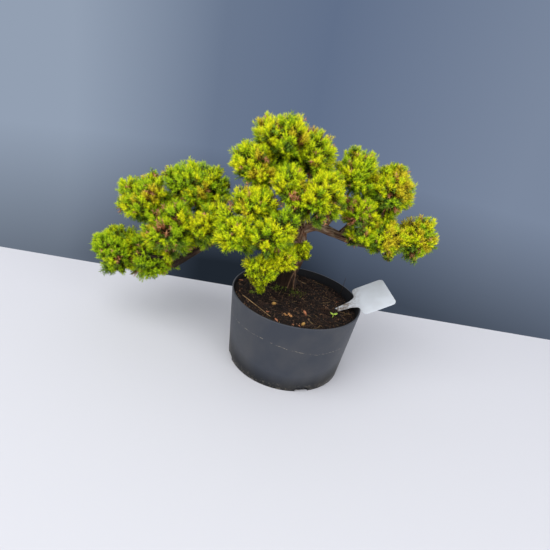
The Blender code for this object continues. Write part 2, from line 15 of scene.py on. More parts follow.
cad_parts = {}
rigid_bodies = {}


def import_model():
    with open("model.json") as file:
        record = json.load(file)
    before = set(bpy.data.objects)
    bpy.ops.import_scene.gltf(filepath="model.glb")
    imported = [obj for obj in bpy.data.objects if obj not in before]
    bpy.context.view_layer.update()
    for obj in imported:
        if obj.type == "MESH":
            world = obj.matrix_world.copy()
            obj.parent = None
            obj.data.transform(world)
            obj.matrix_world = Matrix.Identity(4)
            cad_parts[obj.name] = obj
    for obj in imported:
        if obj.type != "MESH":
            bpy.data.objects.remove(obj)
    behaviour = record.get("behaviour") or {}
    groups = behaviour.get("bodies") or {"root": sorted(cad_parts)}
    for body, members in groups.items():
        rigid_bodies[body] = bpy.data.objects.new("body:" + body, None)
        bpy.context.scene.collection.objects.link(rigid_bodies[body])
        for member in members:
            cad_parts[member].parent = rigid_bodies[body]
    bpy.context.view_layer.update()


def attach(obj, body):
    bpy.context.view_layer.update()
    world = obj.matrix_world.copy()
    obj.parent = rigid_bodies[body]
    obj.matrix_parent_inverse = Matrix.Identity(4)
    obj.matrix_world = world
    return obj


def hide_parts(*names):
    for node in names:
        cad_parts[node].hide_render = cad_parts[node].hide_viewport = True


bl_info = {
    "name": "Juniper bonsai",
    "version": (1, 0, 0),
    "blender": (4, 5, 0),
    "location": "3D View > Sidebar > Bonsai",
    "description": "Makes the pieces of a potted juniper bonsai round its fixed frame",
    "category": "Object",
}

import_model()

CM = 0.01
MM = 0.001


# --- Colours and nodes ----------------------------------------------------------------------------


def linear(hex_colour):
    """An sRGB hex colour as a linear colour."""
    parts = [int(hex_colour[k:k + 2], 16) / 255 for k in (1, 3, 5)]
    return tuple(p / 12.92 if p <= 0.04045 else ((p + 0.055) / 1.055) ** 2.4 for p in parts)


def rgba(colour):
    """A socket's colour, from a hex colour, a grey value or a linear colour."""
    if isinstance(colour, str):
        colour = linear(colour)
    elif isinstance(colour, float):
        colour = (colour,) * 3
    return (*colour, 1.0)


def add_node(tree, kind, inputs=None, stops=(), **settings):
    """Adds a node with its settings and, on a ramp, its stops: a place and a colour each.

    An input takes a value, or a link from a socket or from a node's first output.
    """
    node = tree.nodes.new(kind)
    for name, value in settings.items():
        setattr(node, name, value)
    for name, value in (inputs or {}).items():
        if isinstance(value, bpy.types.Node):
            value = value.outputs[0]
        if isinstance(value, bpy.types.NodeSocket):
            tree.links.new(value, node.inputs[name])
        else:
            node.inputs[name].default_value = value
    if stops:
        elements = node.color_ramp.elements
        while len(elements) < len(stops):
            elements.new(0.5)
        for element, (at, colour) in zip(elements, stops):
            element.position = at
            element.color = rgba(colour)
    return node


def new_material(name, colour, roughness, specular):
    """A material, its tree and its Principled shader. The colour shows where no pattern takes its place."""
    material = bpy.data.materials.new(name)
    material.use_nodes = True
    shader = material.node_tree.nodes["Principled BSDF"]
    shader.inputs["Base Color"].default_value = rgba(colour)
    shader.inputs["Roughness"].default_value = roughness
    shader.inputs["Specular IOR Level"].default_value = specular
    material.diffuse_color = rgba(colour)
    return material, material.node_tree, shader


def mottled(name, dark, light, size, roughness=0.85, specular=0.3):
    """A small natural thing's finish: two tones in lumps of a real size, with a bump of the same grain."""
    material, tree, shader = new_material(name, light, roughness, specular)
    at = add_node(tree, "ShaderNodeTexCoord").outputs["Object"]
    lumps = add_node(tree, "ShaderNodeTexNoise",
                     {"Vector": at, "Scale": 1 / size, "Detail": 3.0, "Roughness": 0.55})
    colour = add_node(tree, "ShaderNodeValToRGB", {"Fac": lumps}, [(0.35, dark), (0.65, light)])
    bump = add_node(tree, "ShaderNodeBump", {"Height": lumps, "Strength": 0.4, "Distance": 0.2 * MM})
    tree.links.new(colour.outputs[0], shader.inputs["Base Color"])
    tree.links.new(bump.outputs[0], shader.inputs["Normal"])
    return material


# --- Meshes ---------------------------------------------------------------------------------------


def new_piece(name, mesh, materials=()):
    """An object in the scene for a mesh, with its materials."""
    obj = bpy.data.objects.new(name, mesh)
    bpy.context.scene.collection.objects.link(obj)
    for material in materials:
        mesh.materials.append(material)
    return obj


def mesh_from(bm, name, smooth=True):
    """The plain mesh of a bmesh, which is freed."""
    bmesh.ops.recalc_face_normals(bm, faces=bm.faces)
    mesh = bpy.data.meshes.new(name)
    bm.to_mesh(mesh)
    bm.free()
    if smooth:
        mesh.shade_smooth()
    return mesh


def bake(obj):
    """Turns what an object's modifiers make into its plain mesh."""
    bpy.context.view_layer.update()
    graph = bpy.context.evaluated_depsgraph_get()
    mesh = bpy.data.meshes.new_from_object(obj.evaluated_get(graph))
    obj.modifiers.clear()
    old, obj.data = obj.data, mesh
    bpy.data.meshes.remove(old)
    mesh.name = obj.name


def keep_shown_materials(mesh):
    """Drops the material slots that no face uses."""
    used = sorted({polygon.material_index for polygon in mesh.polygons})
    shown = [mesh.materials[k] for k in used]
    slot_of = {k: slot for slot, k in enumerate(used)}
    slots = [slot_of[polygon.material_index] for polygon in mesh.polygons]
    mesh.materials.clear()
    for material in shown:
        mesh.materials.append(material)
    mesh.polygons.foreach_set("material_index", slots)


def settle(piece, slot, *nodes):
    """Puts a finished piece on the part's one body, in place of the frame's nodes."""
    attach(piece, "root")
    if nodes:
        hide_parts(*nodes)


def circle(radius, steps):
    """Places round a circle, as (x, y)."""
    turns = [math.tau * k / steps for k in range(steps)]
    return [(radius * math.cos(turn), radius * math.sin(turn)) for turn in turns]


def skin(bm, rings):
    """Makes the faces of a tube through rings of vertices, and closes its ends."""
    sides = len(rings[0])
    for lower, upper in zip(rings, rings[1:]):
        for s in range(sides):
            bm.faces.new((lower[s], lower[(s + 1) % sides], upper[(s + 1) % sides], upper[s]))
    bm.faces.new(rings[0])
    bm.faces.new(rings[-1])


def turned_mesh(name, profile, steps):
    """A turned shell: a profile of (radius, height) carried round the axis, and closed on it at both ends."""
    bm = bmesh.new()
    rings = []
    for radius, height in profile:
        if radius == 0:
            rings.append([bm.verts.new((0, 0, height))] * steps)
        else:
            rings.append([bm.verts.new((x, y, height)) for x, y in circle(radius, steps)])
    for lower, upper in zip(rings, rings[1:]):
        for k in range(steps):
            corners = [lower[k], lower[(k + 1) % steps], upper[(k + 1) % steps], upper[k]]
            bm.faces.new(list(dict.fromkeys(corners)))
    return mesh_from(bm, name, smooth=False)


# --- The plant's plan, as in the frame: limbs and masses ------------------------------------------

# the trunk's centre line from the soil up, its radii, and the swelling of its foot, in centimetres
TRUNK = [(-1.25, 3.35, 7.0), (-1.15, 3.2, 8.6), (-0.75, 2.95, 10.6), (-0.8, 2.7, 12.7), (-1.35, 2.5, 14.6),
         (-2.3, 2.4, 16.6), (-3.1, 2.3, 18.2), (-3.6, 2.3, 19.6)]
TRUNK_RADII = (0.98, 0.92, 0.84, 0.76, 0.62, 0.48, 0.38, 0.30)
FLARE_HEIGHT = 1.5
FLARE_REACH = 0.50
FLARE_LOBES = 5
# what carries each limb, its centre line, and its radii at the start and the tip, in centimetres
LIMBS = {
    "left_bough": ("trunk", [(-0.85, 2.8, 11.9), (-3.4, 2.6, 12.5), (-6.6, 2.4, 12.1), (-9.8, 2.4, 10.6),
                             (-12.0, 2.3, 8.7), (-13.7, 2.2, 7.1)], 0.60, 0.38),
    "right_bough": ("trunk", [(-1.0, 2.7, 13.6), (0.6, 2.9, 14.3), (2.6, 3.0, 13.9), (5.0, 3.1, 13.4),
                              (7.4, 3.1, 13.4), (9.1, 3.15, 14.0)], 0.56, 0.27),
    "front_bough": ("trunk", [(-0.8, 2.8, 12.3), (-1.9, 1.2, 13.2), (-3.2, -0.2, 13.3), (-4.3, -1.3, 12.9)],
                    0.36, 0.22),
    "left_tip_twig": ("left_bough", [(-12.9, 2.2, 7.9), (-14.6, 0.7, 8.4), (-16.4, 0.6, 8.2),
                                     (-18.3, 1.1, 8.0)], 0.25, 0.17),
    "left_outer_twig": ("left_bough", [(-11.9, 2.3, 8.8), (-12.9, 3.0, 10.4), (-14.3, 2.9, 11.7),
                                       (-15.6, 2.7, 12.5)], 0.27, 0.18),
    "left_inner_twig": ("left_bough", [(-7.6, 2.4, 11.8), (-8.9, 2.9, 12.7), (-10.2, 3.0, 13.9)], 0.26, 0.19),
    "left_middle_twig": ("left_bough", [(-10.4, 2.35, 10.2), (-11.2, 1.5, 10.7),
                                        (-12.0, 0.7, 11.2)], 0.24, 0.17),
    "left_front_twig": ("left_bough", [(-7.2, 2.4, 11.9), (-8.0, 1.4, 12.3), (-8.8, 0.9, 12.7)], 0.21, 0.15),
    "left_back_twig": ("left_bough", [(-11.2, 2.35, 9.4), (-12.6, 3.9, 9.6), (-14.1, 5.1, 10.4)], 0.24, 0.17),
    "front_upper_twig": ("trunk", [(-1.6, 2.45, 15.0), (-2.9, 1.3, 15.4), (-4.1, 0.3, 15.8)], 0.23, 0.16),
    "front_left_twig": ("front_bough", [(-3.2, -0.2, 13.3), (-4.2, -0.7, 13.8),
                                        (-5.1, -1.5, 13.9)], 0.18, 0.14),
    "front_right_twig": ("front_bough", [(-2.3, 0.75, 13.3), (-2.3, -0.2, 13.9),
                                         (-2.7, -1.2, 14.3)], 0.18, 0.14),
    "front_low_twig": ("front_bough", [(-2.9, 0.15, 13.25), (-2.5, -0.5, 12.8),
                                       (-2.3, -1.0, 12.5)], 0.17, 0.13),
    "front_spray_twig": ("trunk", [(-0.8, 2.7, 13.0), (-0.7, 1.6, 13.2), (-0.75, 0.8, 12.9)], 0.17, 0.13),
    "centre_right_twig": ("trunk", [(-1.9, 2.4, 15.8), (-1.0, 1.5, 16.4), (-0.4, 0.8, 17.0)], 0.24, 0.17),
    "crown_left_twig": ("trunk", [(-2.8, 2.35, 17.6), (-3.9, 2.0, 18.0), (-4.8, 1.7, 18.4)], 0.21, 0.16),
    "crown_right_twig": ("trunk", [(-2.4, 2.4, 16.8), (-1.6, 2.6, 17.7), (-1.1, 2.6, 18.5)], 0.22, 0.16),
    "crown_centre_twig": ("trunk", [(-2.7, 2.35, 17.3), (-2.8, 1.7, 17.6), (-2.9, 1.2, 18.0)], 0.20, 0.15),
    "crown_back_twig": ("trunk", [(-2.1, 2.4, 16.2), (-2.7, 3.6, 17.0), (-3.3, 4.7, 17.9)], 0.23, 0.16),
    "right_inner_twig": ("right_bough", [(1.4, 2.95, 14.2), (2.2, 3.4, 15.7), (3.0, 3.9, 17.3)], 0.24, 0.17),
    "right_middle_twig": ("right_bough", [(2.9, 3.0, 13.8), (3.4, 2.6, 14.7), (3.9, 2.3, 15.6)], 0.20, 0.15),
    "right_low_twig": ("right_bough", [(2.2, 3.0, 14.0), (3.2, 2.2, 14.2), (4.1, 1.7, 14.4)], 0.18, 0.13),
    "right_outer_twig": ("right_bough", [(5.4, 3.1, 13.5), (6.3, 3.3, 15.2), (7.0, 3.3, 16.9)], 0.24, 0.17),
    "right_front_twig": ("right_bough", [(4.3, 3.05, 13.6), (5.2, 2.3, 14.0), (6.0, 1.9, 14.5)], 0.19, 0.14),
    "right_back_twig": ("right_bough", [(3.2, 3.05, 13.8), (4.2, 4.4, 14.5), (5.3, 5.5, 15.4)], 0.24, 0.17),
}
# the limb whose tip each mass hangs on, its centre and half sizes in centimetres, and its shares of fresh,
# green, deep, gold and dead shoots
MASSES = {
    "left_tip": ("left_tip_twig", (-19.9, 1.4, 7.9), (2.6, 2.5, 2.6), (0.5, 4, 6, 0.0, 0.1)),
    "left_low": ("left_bough", (-16.0, 2.4, 7.3), (3.0, 2.8, 2.2), (0.5, 4, 6, 0.2, 0.8)),
    "left_outer": ("left_outer_twig", (-17.3, 2.5, 13.5), (2.9, 2.8, 3.1), (1.5, 5, 4, 0.3, 0.2)),
    "left_inner": ("left_inner_twig", (-12.2, 3.0, 15.8), (3.4, 3.0, 2.8), (2, 5, 3.5, 0.4, 0.2)),
    "left_middle": ("left_middle_twig", (-13.6, -0.3, 11.9), (3.1, 2.7, 3.0), (1, 4, 6, 0.5, 1.2)),
    "left_front": ("left_front_twig", (-10.0, 0.2, 13.1), (2.4, 2.3, 2.4), (5, 4, 1, 0.8, 0.2)),
    "left_back": ("left_back_twig", (-15.8, 5.9, 11.2), (3.4, 2.8, 3.0), (3, 5, 3, 0.3, 0.3)),
    "crown_top": ("trunk", (-4.4, 2.3, 22.0), (2.9, 2.9, 2.8), (5, 5, 1, 0.9, 0.2)),
    "crown_left": ("crown_left_twig", (-6.1, 1.4, 19.5), (2.6, 2.7, 2.8), (4, 5, 1.5, 1.2, 0.5)),
    "crown_right": ("crown_right_twig", (-1.5, 2.6, 21.0), (2.6, 2.7, 2.9), (4, 4, 1, 1.6, 0.5)),
    "crown_back": ("crown_back_twig", (-3.9, 6.0, 19.4), (3.5, 2.8, 3.1), (4, 5, 3, 0.4, 0.2)),
    "crown_centre": ("crown_centre_twig", (-3.1, 0.2, 18.9), (2.2, 2.0, 2.5), (3, 4, 2, 1.2, 1.6)),
    "centre_right": ("centre_right_twig", (0.1, -0.5, 18.0), (2.7, 2.5, 2.6), (5, 4, 1, 1.6, 0.4)),
    "front_upper": ("front_upper_twig", (-5.5, -0.9, 16.3), (2.6, 2.4, 2.5), (5, 5, 0.7, 1.0, 0.3)),
    "front_left": ("front_left_twig", (-6.7, -2.5, 13.9), (2.6, 2.3, 2.2), (4, 6, 1.2, 0.4, 0.1)),
    "front_right": ("front_right_twig", (-3.5, -2.7, 14.5), (2.4, 2.3, 2.2), (5, 5, 1, 0.5, 0.1)),
    "front_low": ("front_low_twig", (-2.3, -2.0, 12.2), (1.9, 1.8, 1.9), (6, 5, 1, 0.2, 0.1)),
    "front_spray": ("front_spray_twig", (-0.8, -0.3, 12.4), (1.15, 1.1, 1.2), (6, 4, 0.5, 0.2, 0.2)),
    "front_tip": ("front_bough", (-3.8, -2.9, 10.4), (1.7, 1.6, 2.1), (4, 7, 1.5, 0.1, 0.0)),
    "right_inner": ("right_inner_twig", (3.5, 4.1, 19.8), (2.3, 2.6, 3.1), (4, 5, 2, 0.6, 0.3)),
    "right_middle": ("right_middle_twig", (4.4, 1.9, 16.9), (2.1, 2.1, 2.2), (1, 4, 4, 0.3, 2.5)),
    "right_low": ("right_low_twig", (5.2, 1.3, 14.6), (1.8, 1.7, 1.7), (2, 4, 2, 0.6, 2.0)),
    "right_outer": ("right_outer_twig", (7.1, 3.4, 19.2), (2.5, 2.6, 3.0), (4, 3, 1, 2.6, 0.9)),
    "right_front": ("right_front_twig", (7.3, 1.4, 15.0), (2.3, 2.2, 2.4), (4, 3, 1, 2.6, 0.5)),
    "right_tip": ("right_bough", (10.9, 3.2, 14.9), (2.4, 2.5, 2.5), (3, 3, 1.5, 3.0, 0.8)),
    "right_back": ("right_back_twig", (6.6, 6.8, 16.4), (3.1, 2.4, 2.9), (3, 5, 3, 0.6, 0.5)),
}
# sprays that stand out of a mass or close it to the next one: place in centimetres, and radius in millimetres
SPRAYS = {
    "left_tip": [((-20.3, 1.4, 10.2), 6), ((-19.4, 1.5, 10.3), 6), ((-22.0, 1.4, 8.3), 6),
                 ((-20.1, 1.4, 5.5), 6), ((-19.1, 1.4, 5.8), 7), ((-18.4, 1.5, 9.6), 8),
                 ((-17.7, 1.4, 7.9), 9)],
    "left_low": [((-17.5, 1.4, 9.6), 9), ((-18.0, 1.4, 6.2), 8), ((-16.5, 0.6, 8.8), 9),
                 ((-16.3, 1.0, 6.6), 8)],
    "left_middle": [((-16.3, 0.8, 10.7), 8)],
    "left_outer": [((-16.5, 2.5, 16.5), 5)],
    "left_inner": [((-15.0, 3.0, 17.0), 8), ((-10.3, 3.0, 17.7), 9), ((-9.4, 2.8, 17.2), 6),
                   ((-9.6, 2.6, 15.7), 7)],
    "crown_left": [((-8.1, 1.7, 19.9), 7), ((-7.6, 1.7, 21.0), 8)],
    "crown_top": [((-6.2, 2.3, 23.3), 7), ((-3.2, 2.4, 23.6), 7)],
    "crown_right": [((-1.3, 2.6, 23.1), 7)],
    "right_inner": [((2.8, 4.1, 22.2), 6), ((4.2, 4.1, 21.8), 7)],
    "right_outer": [((6.4, 3.4, 21.4), 6), ((7.0, 3.4, 21.5), 6)],
    "right_tip": [((11.4, 3.2, 17.0), 7), ((12.6, 3.2, 15.1), 6), ((11.2, 3.2, 12.9), 7)],
    "right_low": [((3.9, 1.4, 14.9), 7), ((4.2, 1.4, 13.9), 6)],
    "right_front": [((8.3, 1.4, 13.0), 6)],
    "front_tip": [((-5.1, -3.0, 11.5), 7), ((-4.5, -3.0, 11.4), 8), ((-3.8, -3.0, 11.7), 8),
                  ((-4.9, -3.0, 10.7), 6), ((-4.2, -3.0, 10.5), 7), ((-3.4, -3.0, 10.9), 7),
                  ((-2.8, -2.9, 11.2), 7), ((-2.9, -2.9, 10.6), 5), ((-4.1, -3.0, 9.8), 6),
                  ((-4.4, -3.0, 9.6), 4), ((-3.8, -3.0, 9.2), 4), ((-3.7, -3.0, 8.9), 3),
                  ((-4.2, -2.0, 10.9), 8), ((-3.3, -2.0, 10.9), 8)],
    "front_spray": [((-1.2, -0.4, 12.9), 3), ((-0.9, -0.5, 13.0), 3), ((-0.55, -0.5, 13.0), 3),
                    ((-0.3, -0.6, 13.4), 3.5), ((0.0, -0.5, 13.3), 3), ((-0.2, -0.5, 12.8), 3.5),
                    ((0.0, -0.4, 12.3), 3.5), ((-1.0, -0.4, 12.4), 4), ((-0.55, -0.4, 12.3), 4),
                    ((-0.7, -0.4, 11.9), 3)],
}
SPRAYS_ALONE = ("front_tip", "front_spray")  # these masses are the sprays above and nothing else
# places where the foliage is thin and old wood shows, and the sprigs are dark as painted shade of the hollow,
# some of them dead: place in centimetres, and radius in millimetres
HOLLOWS = [((-3.0, 0.0, 17.9), 11), ((4.25, 1.0, 16.1), 11), ((4.5, 1.5, 14.3), 9), ((-13.6, -2.2, 12.9), 9),
           ((-5.4, -0.8, 20.9), 7), ((-3.5, -1.0, 17.2), 8), ((-6.5, -2.5, 12.1), 7), ((-12.8, 1.5, 9.5), 9),
           ((-1.6, 0.8, 20.4), 7), ((-8.4, 0.5, 16.3), 8), ((5.3, 1.0, 20.2), 7), ((9.9, 1.5, 14.6), 6)]
FIELD_FALL = 3.5  # how fast a mass's field falls off outside it. Less joins neighbours more widely
LIMB_MARGIN = 0.4 * MM
# thin stems that hang in front of the trunk, two of them down to the soil: centre line in centimetres, and
# radius at its start in millimetres
HANGING_STEMS = [
    ([(-0.75, 2.2, 14.4), (-0.80, 1.4, 14.1), (-0.90, 0.9, 13.2), (-0.80, 0.6, 12.1), (-0.62, 0.8, 11.0),
      (-0.70, 1.2, 9.6), (-0.90, 1.7, 8.3), (-1.05, 2.0, 6.9)], 1.5),
    ([(-0.60, 0.8, 11.0), (-0.62, 1.4, 9.8), (-0.50, 1.7, 8.8), (-0.45, 2.1, 7.8), (-0.35, 2.2, 6.9)], 0.9),
    ([(-0.80, 1.4, 14.1), (-1.05, 1.4, 14.6), (-1.2, 1.3, 15.1)], 0.9),
    ([(-0.80, 1.4, 14.1), (-0.45, 1.5, 14.6), (-0.1, 1.6, 15.1)], 1.0),
    ([(-0.85, 0.9, 12.9), (-1.05, 0.85, 13.3), (-1.2, 0.8, 13.8)], 0.8),
    ([(-1.6, 1.4, 13.0), (-1.5, 0.9, 12.2), (-1.3, 0.8, 11.2), (-1.1, 1.1, 10.4)], 1.3),
]


def place(point):
    """A table's place in centimetres as a vector in metres."""
    return Vector(point) * CM


def smooth_path(points, radii, count):
    """count places on a Catmull-Rom curve through the points, with a radius at each."""
    ends = [points[0] * 2 - points[1], *points, points[-1] * 2 - points[-2]]
    path, sizes = [], []
    for k in range(count):
        t = k / (count - 1) * (len(points) - 1)
        i = min(int(t), len(points) - 2)
        u = t - i
        a, b, c, d = ends[i:i + 4]
        path.append(0.5 * (2 * b + (c - a) * u + (2 * a - 5 * b + 4 * c - d) * u * u
                           + (3 * b - a - 3 * c + d) * u ** 3))
        sizes.append(radii[i] * (1 - u) + radii[i + 1] * u)
    return path, sizes


def limb_line(name, count=14):
    """The centre line and the radii of the trunk or of a limb, in metres."""
    if name == "trunk":
        points, radii = TRUNK, TRUNK_RADII
    else:
        _, points, start, tip = LIMBS[name]
        radii = [start + (tip - start) * k / (len(points) - 1) for k in range(len(points))]
    return smooth_path([place(p) for p in points], [r * CM for r in radii], count)


def cell_walls(name):
    """The planes between a mass and its neighbours: (normal, distance from the mass's centre) for each."""
    _, centre, sizes, _ = MASSES[name]
    centre, reach = place(centre), sum(sizes) / 3 * CM
    walls = []
    for other, (_, centre_of, sizes_of, _) in MASSES.items():
        if other != name:
            apart = place(centre_of) - centre
            reach_of = sum(sizes_of) / 3 * CM
            share = (apart.length_squared + reach ** 2 - reach_of ** 2) / (2 * apart.length_squared)
            walls.append((apart.normalized(), share * apart.length))
    return walls


def in_cell(walls, centre, point, slack):
    """True if a point lies in a mass's cell, or past its walls by no more than the slack."""
    return all((point - centre).dot(normal) <= distance + slack for normal, distance in walls)


def cell_reach(direction, walls):
    """Distance from a mass's centre to the nearest wall of its cell."""
    slants = [(direction.dot(normal), distance) for normal, distance in walls]
    return min((distance / slant for slant, distance in slants if slant > 0.01), default=1.0)


def surface_reach(direction, sizes):
    """Distance from the centre of an ellipsoid to its surface."""
    return CM / math.sqrt(sum((d / s) ** 2 for d, s in zip(direction, sizes)))


def crown_field(point):
    """The masses' fields added up: 1 on the skin of a mass that stands alone, and more between neighbours."""
    total = 0.0
    for _, centre, sizes, _ in MASSES.values():
        away = [(p - c * CM) / (s * CM) for p, c, s in zip(point, centre, sizes)]
        total += math.exp(FIELD_FALL * (1 - math.hypot(*away)))
    return total


def crown_reach(centre, direction, sizes, walls):
    """How far a mass reaches: to the skin that its field makes with its neighbours', or its cell's wall."""
    full, near = surface_reach(direction, sizes), cell_reach(direction, walls)
    reach = 0.95 * full
    while reach < near and crown_field(centre + direction * reach) > 1:
        reach += 0.03 * full
    return min(reach, near)


def spread_directions(count, rng, shake):
    """Directions spread evenly over a sphere by the golden angle, each shaken a little."""
    golden = math.pi * (3 - math.sqrt(5))
    found = []
    for k in range(count):
        z = 1 - 2 * (k + 0.5) / count
        flat = math.sqrt(1 - z * z)
        off = Vector([rng.uniform(-shake, shake) for _ in range(3)])
        even = Vector((flat * math.cos(golden * k), flat * math.sin(golden * k), z))
        found.append((even + off).normalized())
    return found


def clear_of(point, segments):
    """True if a point lies outside every stretch of limb."""
    for a, b, radius in segments:
        along = b - a
        share = min(max((point - a).dot(along) / along.length_squared, 0.0), 1.0)
        if (point - a - along * share).length < radius + LIMB_MARGIN:
            return False
    return True


# --- Scattering: one tree for needles, twigs, crumbs and fibres -----------------------------------

# what a point of a scatter holds after its place
POINT_VALUES = (("facing", "FLOAT_VECTOR"), ("stretch", "FLOAT_VECTOR"), ("roll", "FLOAT"),
                ("variant", "INT"), ("shade", "INT"))


def scatter_tree(name, materials, parts=1):
    """Geometry Nodes: a variant on every point, turned, rolled and stretched as the point says.

    A point's shade and a face's part pick the material: shade times the number of parts, plus part.
    """
    tree = bpy.data.node_groups.new(name, "GeometryNodeTree")
    tree.is_modifier = True
    for label, kind, default in (("Points", "Geometry", None), ("Variants", "Collection", None),
                                 ("Size", "Float", 1.0), ("Size Spread", "Float", 0.1), ("Seed", "Int", 1)):
        socket = tree.interface.new_socket(label, in_out="INPUT", socket_type="NodeSocket" + kind)
        if default is not None:
            socket.default_value = default
    tree.interface.new_socket("Geometry", in_out="OUTPUT", socket_type="NodeSocketGeometry")
    given = add_node(tree, "NodeGroupInput").outputs
    point = {label: add_node(tree, "GeometryNodeInputNamedAttribute", {"Name": label}, data_type=kind)
             for label, kind in (*POINT_VALUES, ("part", "INT"))}
    stand = add_node(tree, "FunctionNodeAlignRotationToVector", {"Vector": point["facing"]}, axis="Z")
    spin = add_node(tree, "FunctionNodeAxisAngleToRotation", {"Axis": (0, 0, 1), "Angle": point["roll"]})
    turn = add_node(tree, "FunctionNodeRotateRotation", {"Rotation": stand, "Rotate By": spin},
                    rotation_space="LOCAL")
    low = add_node(tree, "ShaderNodeMath", {0: 1.0, 1: given["Size Spread"]}, operation="SUBTRACT")
    high = add_node(tree, "ShaderNodeMath", {0: 1.0, 1: given["Size Spread"]}, operation="ADD")
    vary = add_node(tree, "FunctionNodeRandomValue", {2: low, 3: high, "Seed": given["Seed"]},
                    data_type="FLOAT")
    whole = add_node(tree, "ShaderNodeMath", {0: vary.outputs[1], 1: given["Size"]}, operation="MULTIPLY")
    size = add_node(tree, "ShaderNodeVectorMath", {0: point["stretch"], "Scale": whole}, operation="SCALE")
    choice = add_node(tree, "GeometryNodeCollectionInfo",
                      {"Collection": given["Variants"], "Separate Children": True, "Reset Children": True})
    made = add_node(tree, "GeometryNodeInstanceOnPoints",
                    {"Points": given["Points"], "Instance": choice, "Pick Instance": True,
                     "Instance Index": point["variant"], "Rotation": turn, "Scale": size})
    flow = add_node(tree, "GeometryNodeRealizeInstances", {"Geometry": made})
    pick = add_node(tree, "FunctionNodeIntegerMath", {0: point["shade"], 1: parts, 2: point["part"]},
                    operation="MULTIPLY_ADD")
    for k, material in enumerate(materials):
        chosen = add_node(tree, "FunctionNodeCompare", {2: pick, 3: k}, data_type="INT", operation="EQUAL")
        flow = add_node(tree, "GeometryNodeSetMaterial",
                        {"Geometry": flow, "Selection": chosen, "Material": material})
    add_node(tree, "NodeGroupOutput", {0: flow})
    return tree


def points_mesh(name, rows):
    """Points with what the scatter reads: (place, facing, stretch, roll, variant, shade)."""
    mesh = bpy.data.meshes.new(name)
    mesh.from_pydata([row[0] for row in rows], [], [])
    for at, (label, kind) in enumerate(POINT_VALUES, start=1):
        layer = mesh.attributes.new(label, kind, "POINT")
        if kind == "FLOAT_VECTOR":
            layer.data.foreach_set("vector", [x for row in rows for x in row[at]])
        else:
            layer.data.foreach_set("value", [row[at] for row in rows])
    return mesh


def scatter(name, rows, variants, tree, spread, seed):
    """Runs a scatter tree on rows of points, and returns the plain mesh piece."""
    obj = new_piece(name, points_mesh(name, rows))
    modifier = obj.modifiers.new("Scatter", "NODES")
    modifier.node_group = tree
    values = {"Variants": variants, "Size": 1.0, "Size Spread": spread, "Seed": seed}
    for item in tree.interface.items_tree:
        if item.in_out == "INPUT" and item.name in values:
            modifier[item.identifier] = values[item.name]
    bake(obj)
    for label, _ in (*POINT_VALUES, ("part", "INT")):
        if label in obj.data.attributes:
            obj.data.attributes.remove(obj.data.attributes[label])
    keep_shown_materials(obj.data)
    return obj


def variant_set(name, meshes):
    """A collection of meshes to scatter, out of the scene, in the order given."""
    holder = bpy.data.collections.new(name)
    for k, mesh in enumerate(meshes):
        if "part" not in mesh.attributes:
            mesh.attributes.new("part", "INT", "FACE")
        holder.objects.link(bpy.data.objects.new(f"{name}_{k:02d}", mesh))
    return holder


def clear_variants(holder):
    """Removes a collection that has been scattered."""
    for obj in list(holder.objects):
        bpy.data.objects.remove(obj)
    bpy.data.collections.remove(holder)


def random_direction(rng):
    """A random direction, even all round."""
    return Vector((rng.gauss(0, 1), rng.gauss(0, 1), rng.gauss(0, 1))).normalized()


def strand_mesh(name, rng, bend, sides=3, steps=5):
    """A strand of unit length and unit radius along +Z, that wanders by bend."""
    bm = bmesh.new()
    drift = Vector((0, 0))
    lean = Vector((rng.uniform(-bend, bend), rng.uniform(-bend, bend)))
    rings = []
    for k in range(steps + 1):
        radius = 1.0 - 0.45 * k / steps
        rings.append([bm.verts.new((x + drift.x, y + drift.y, k / steps)) for x, y in circle(radius, sides)])
        lean += Vector((rng.uniform(-bend, bend), rng.uniform(-bend, bend))) * 0.8
        drift += lean
    skin(bm, rings)
    return mesh_from(bm, name)


# --- Pot ------------------------------------------------------------------------------------------


class PotSettings(bpy.types.PropertyGroup):
    """Sizes and colours of the pot."""

    height: FloatProperty(name="Height", description="Height of the pot", default=0.077, unit="LENGTH")
    rim_radius: FloatProperty(name="Rim radius", description="Outer radius at the rim",
                              default=0.067, unit="LENGTH")
    foot_radius: FloatProperty(name="Foot radius", description="Outer radius at the foot",
                               default=0.0605, unit="LENGTH")
    wall: FloatProperty(name="Wall", description="Thickness of the wall and floor",
                        default=0.0016, unit="LENGTH")
    line_height: FloatProperty(name="Lime line", description="Height of the dried line at its lower side",
                               default=0.0473, unit="LENGTH")
    notch_width: FloatProperty(name="Notch width", description="Width of a drainage notch",
                               default=0.014, unit="LENGTH")
    notch_depth: FloatProperty(name="Notch depth", description="How far a drainage notch goes in",
                               default=0.0024, unit="LENGTH")
    notch_height: FloatProperty(name="Notch height", description="Height of a drainage notch",
                                default=0.0040, unit="LENGTH")
    notches: IntProperty(name="Notches", description="Number of drainage notches", default=4, min=0)
    notch_turn: FloatProperty(name="First notch", description="Direction of the first drainage notch",
                              default=math.radians(-69), unit="ROTATION")
    plastic: FloatVectorProperty(name="Plastic", description="Colour of the recycled plastic",
                                 subtype="COLOR", default=linear("#383c44"))
    grime: FloatVectorProperty(name="Grime", description="Colour of dried dirt on the wall",
                               subtype="COLOR", default=linear("#a39a88"))


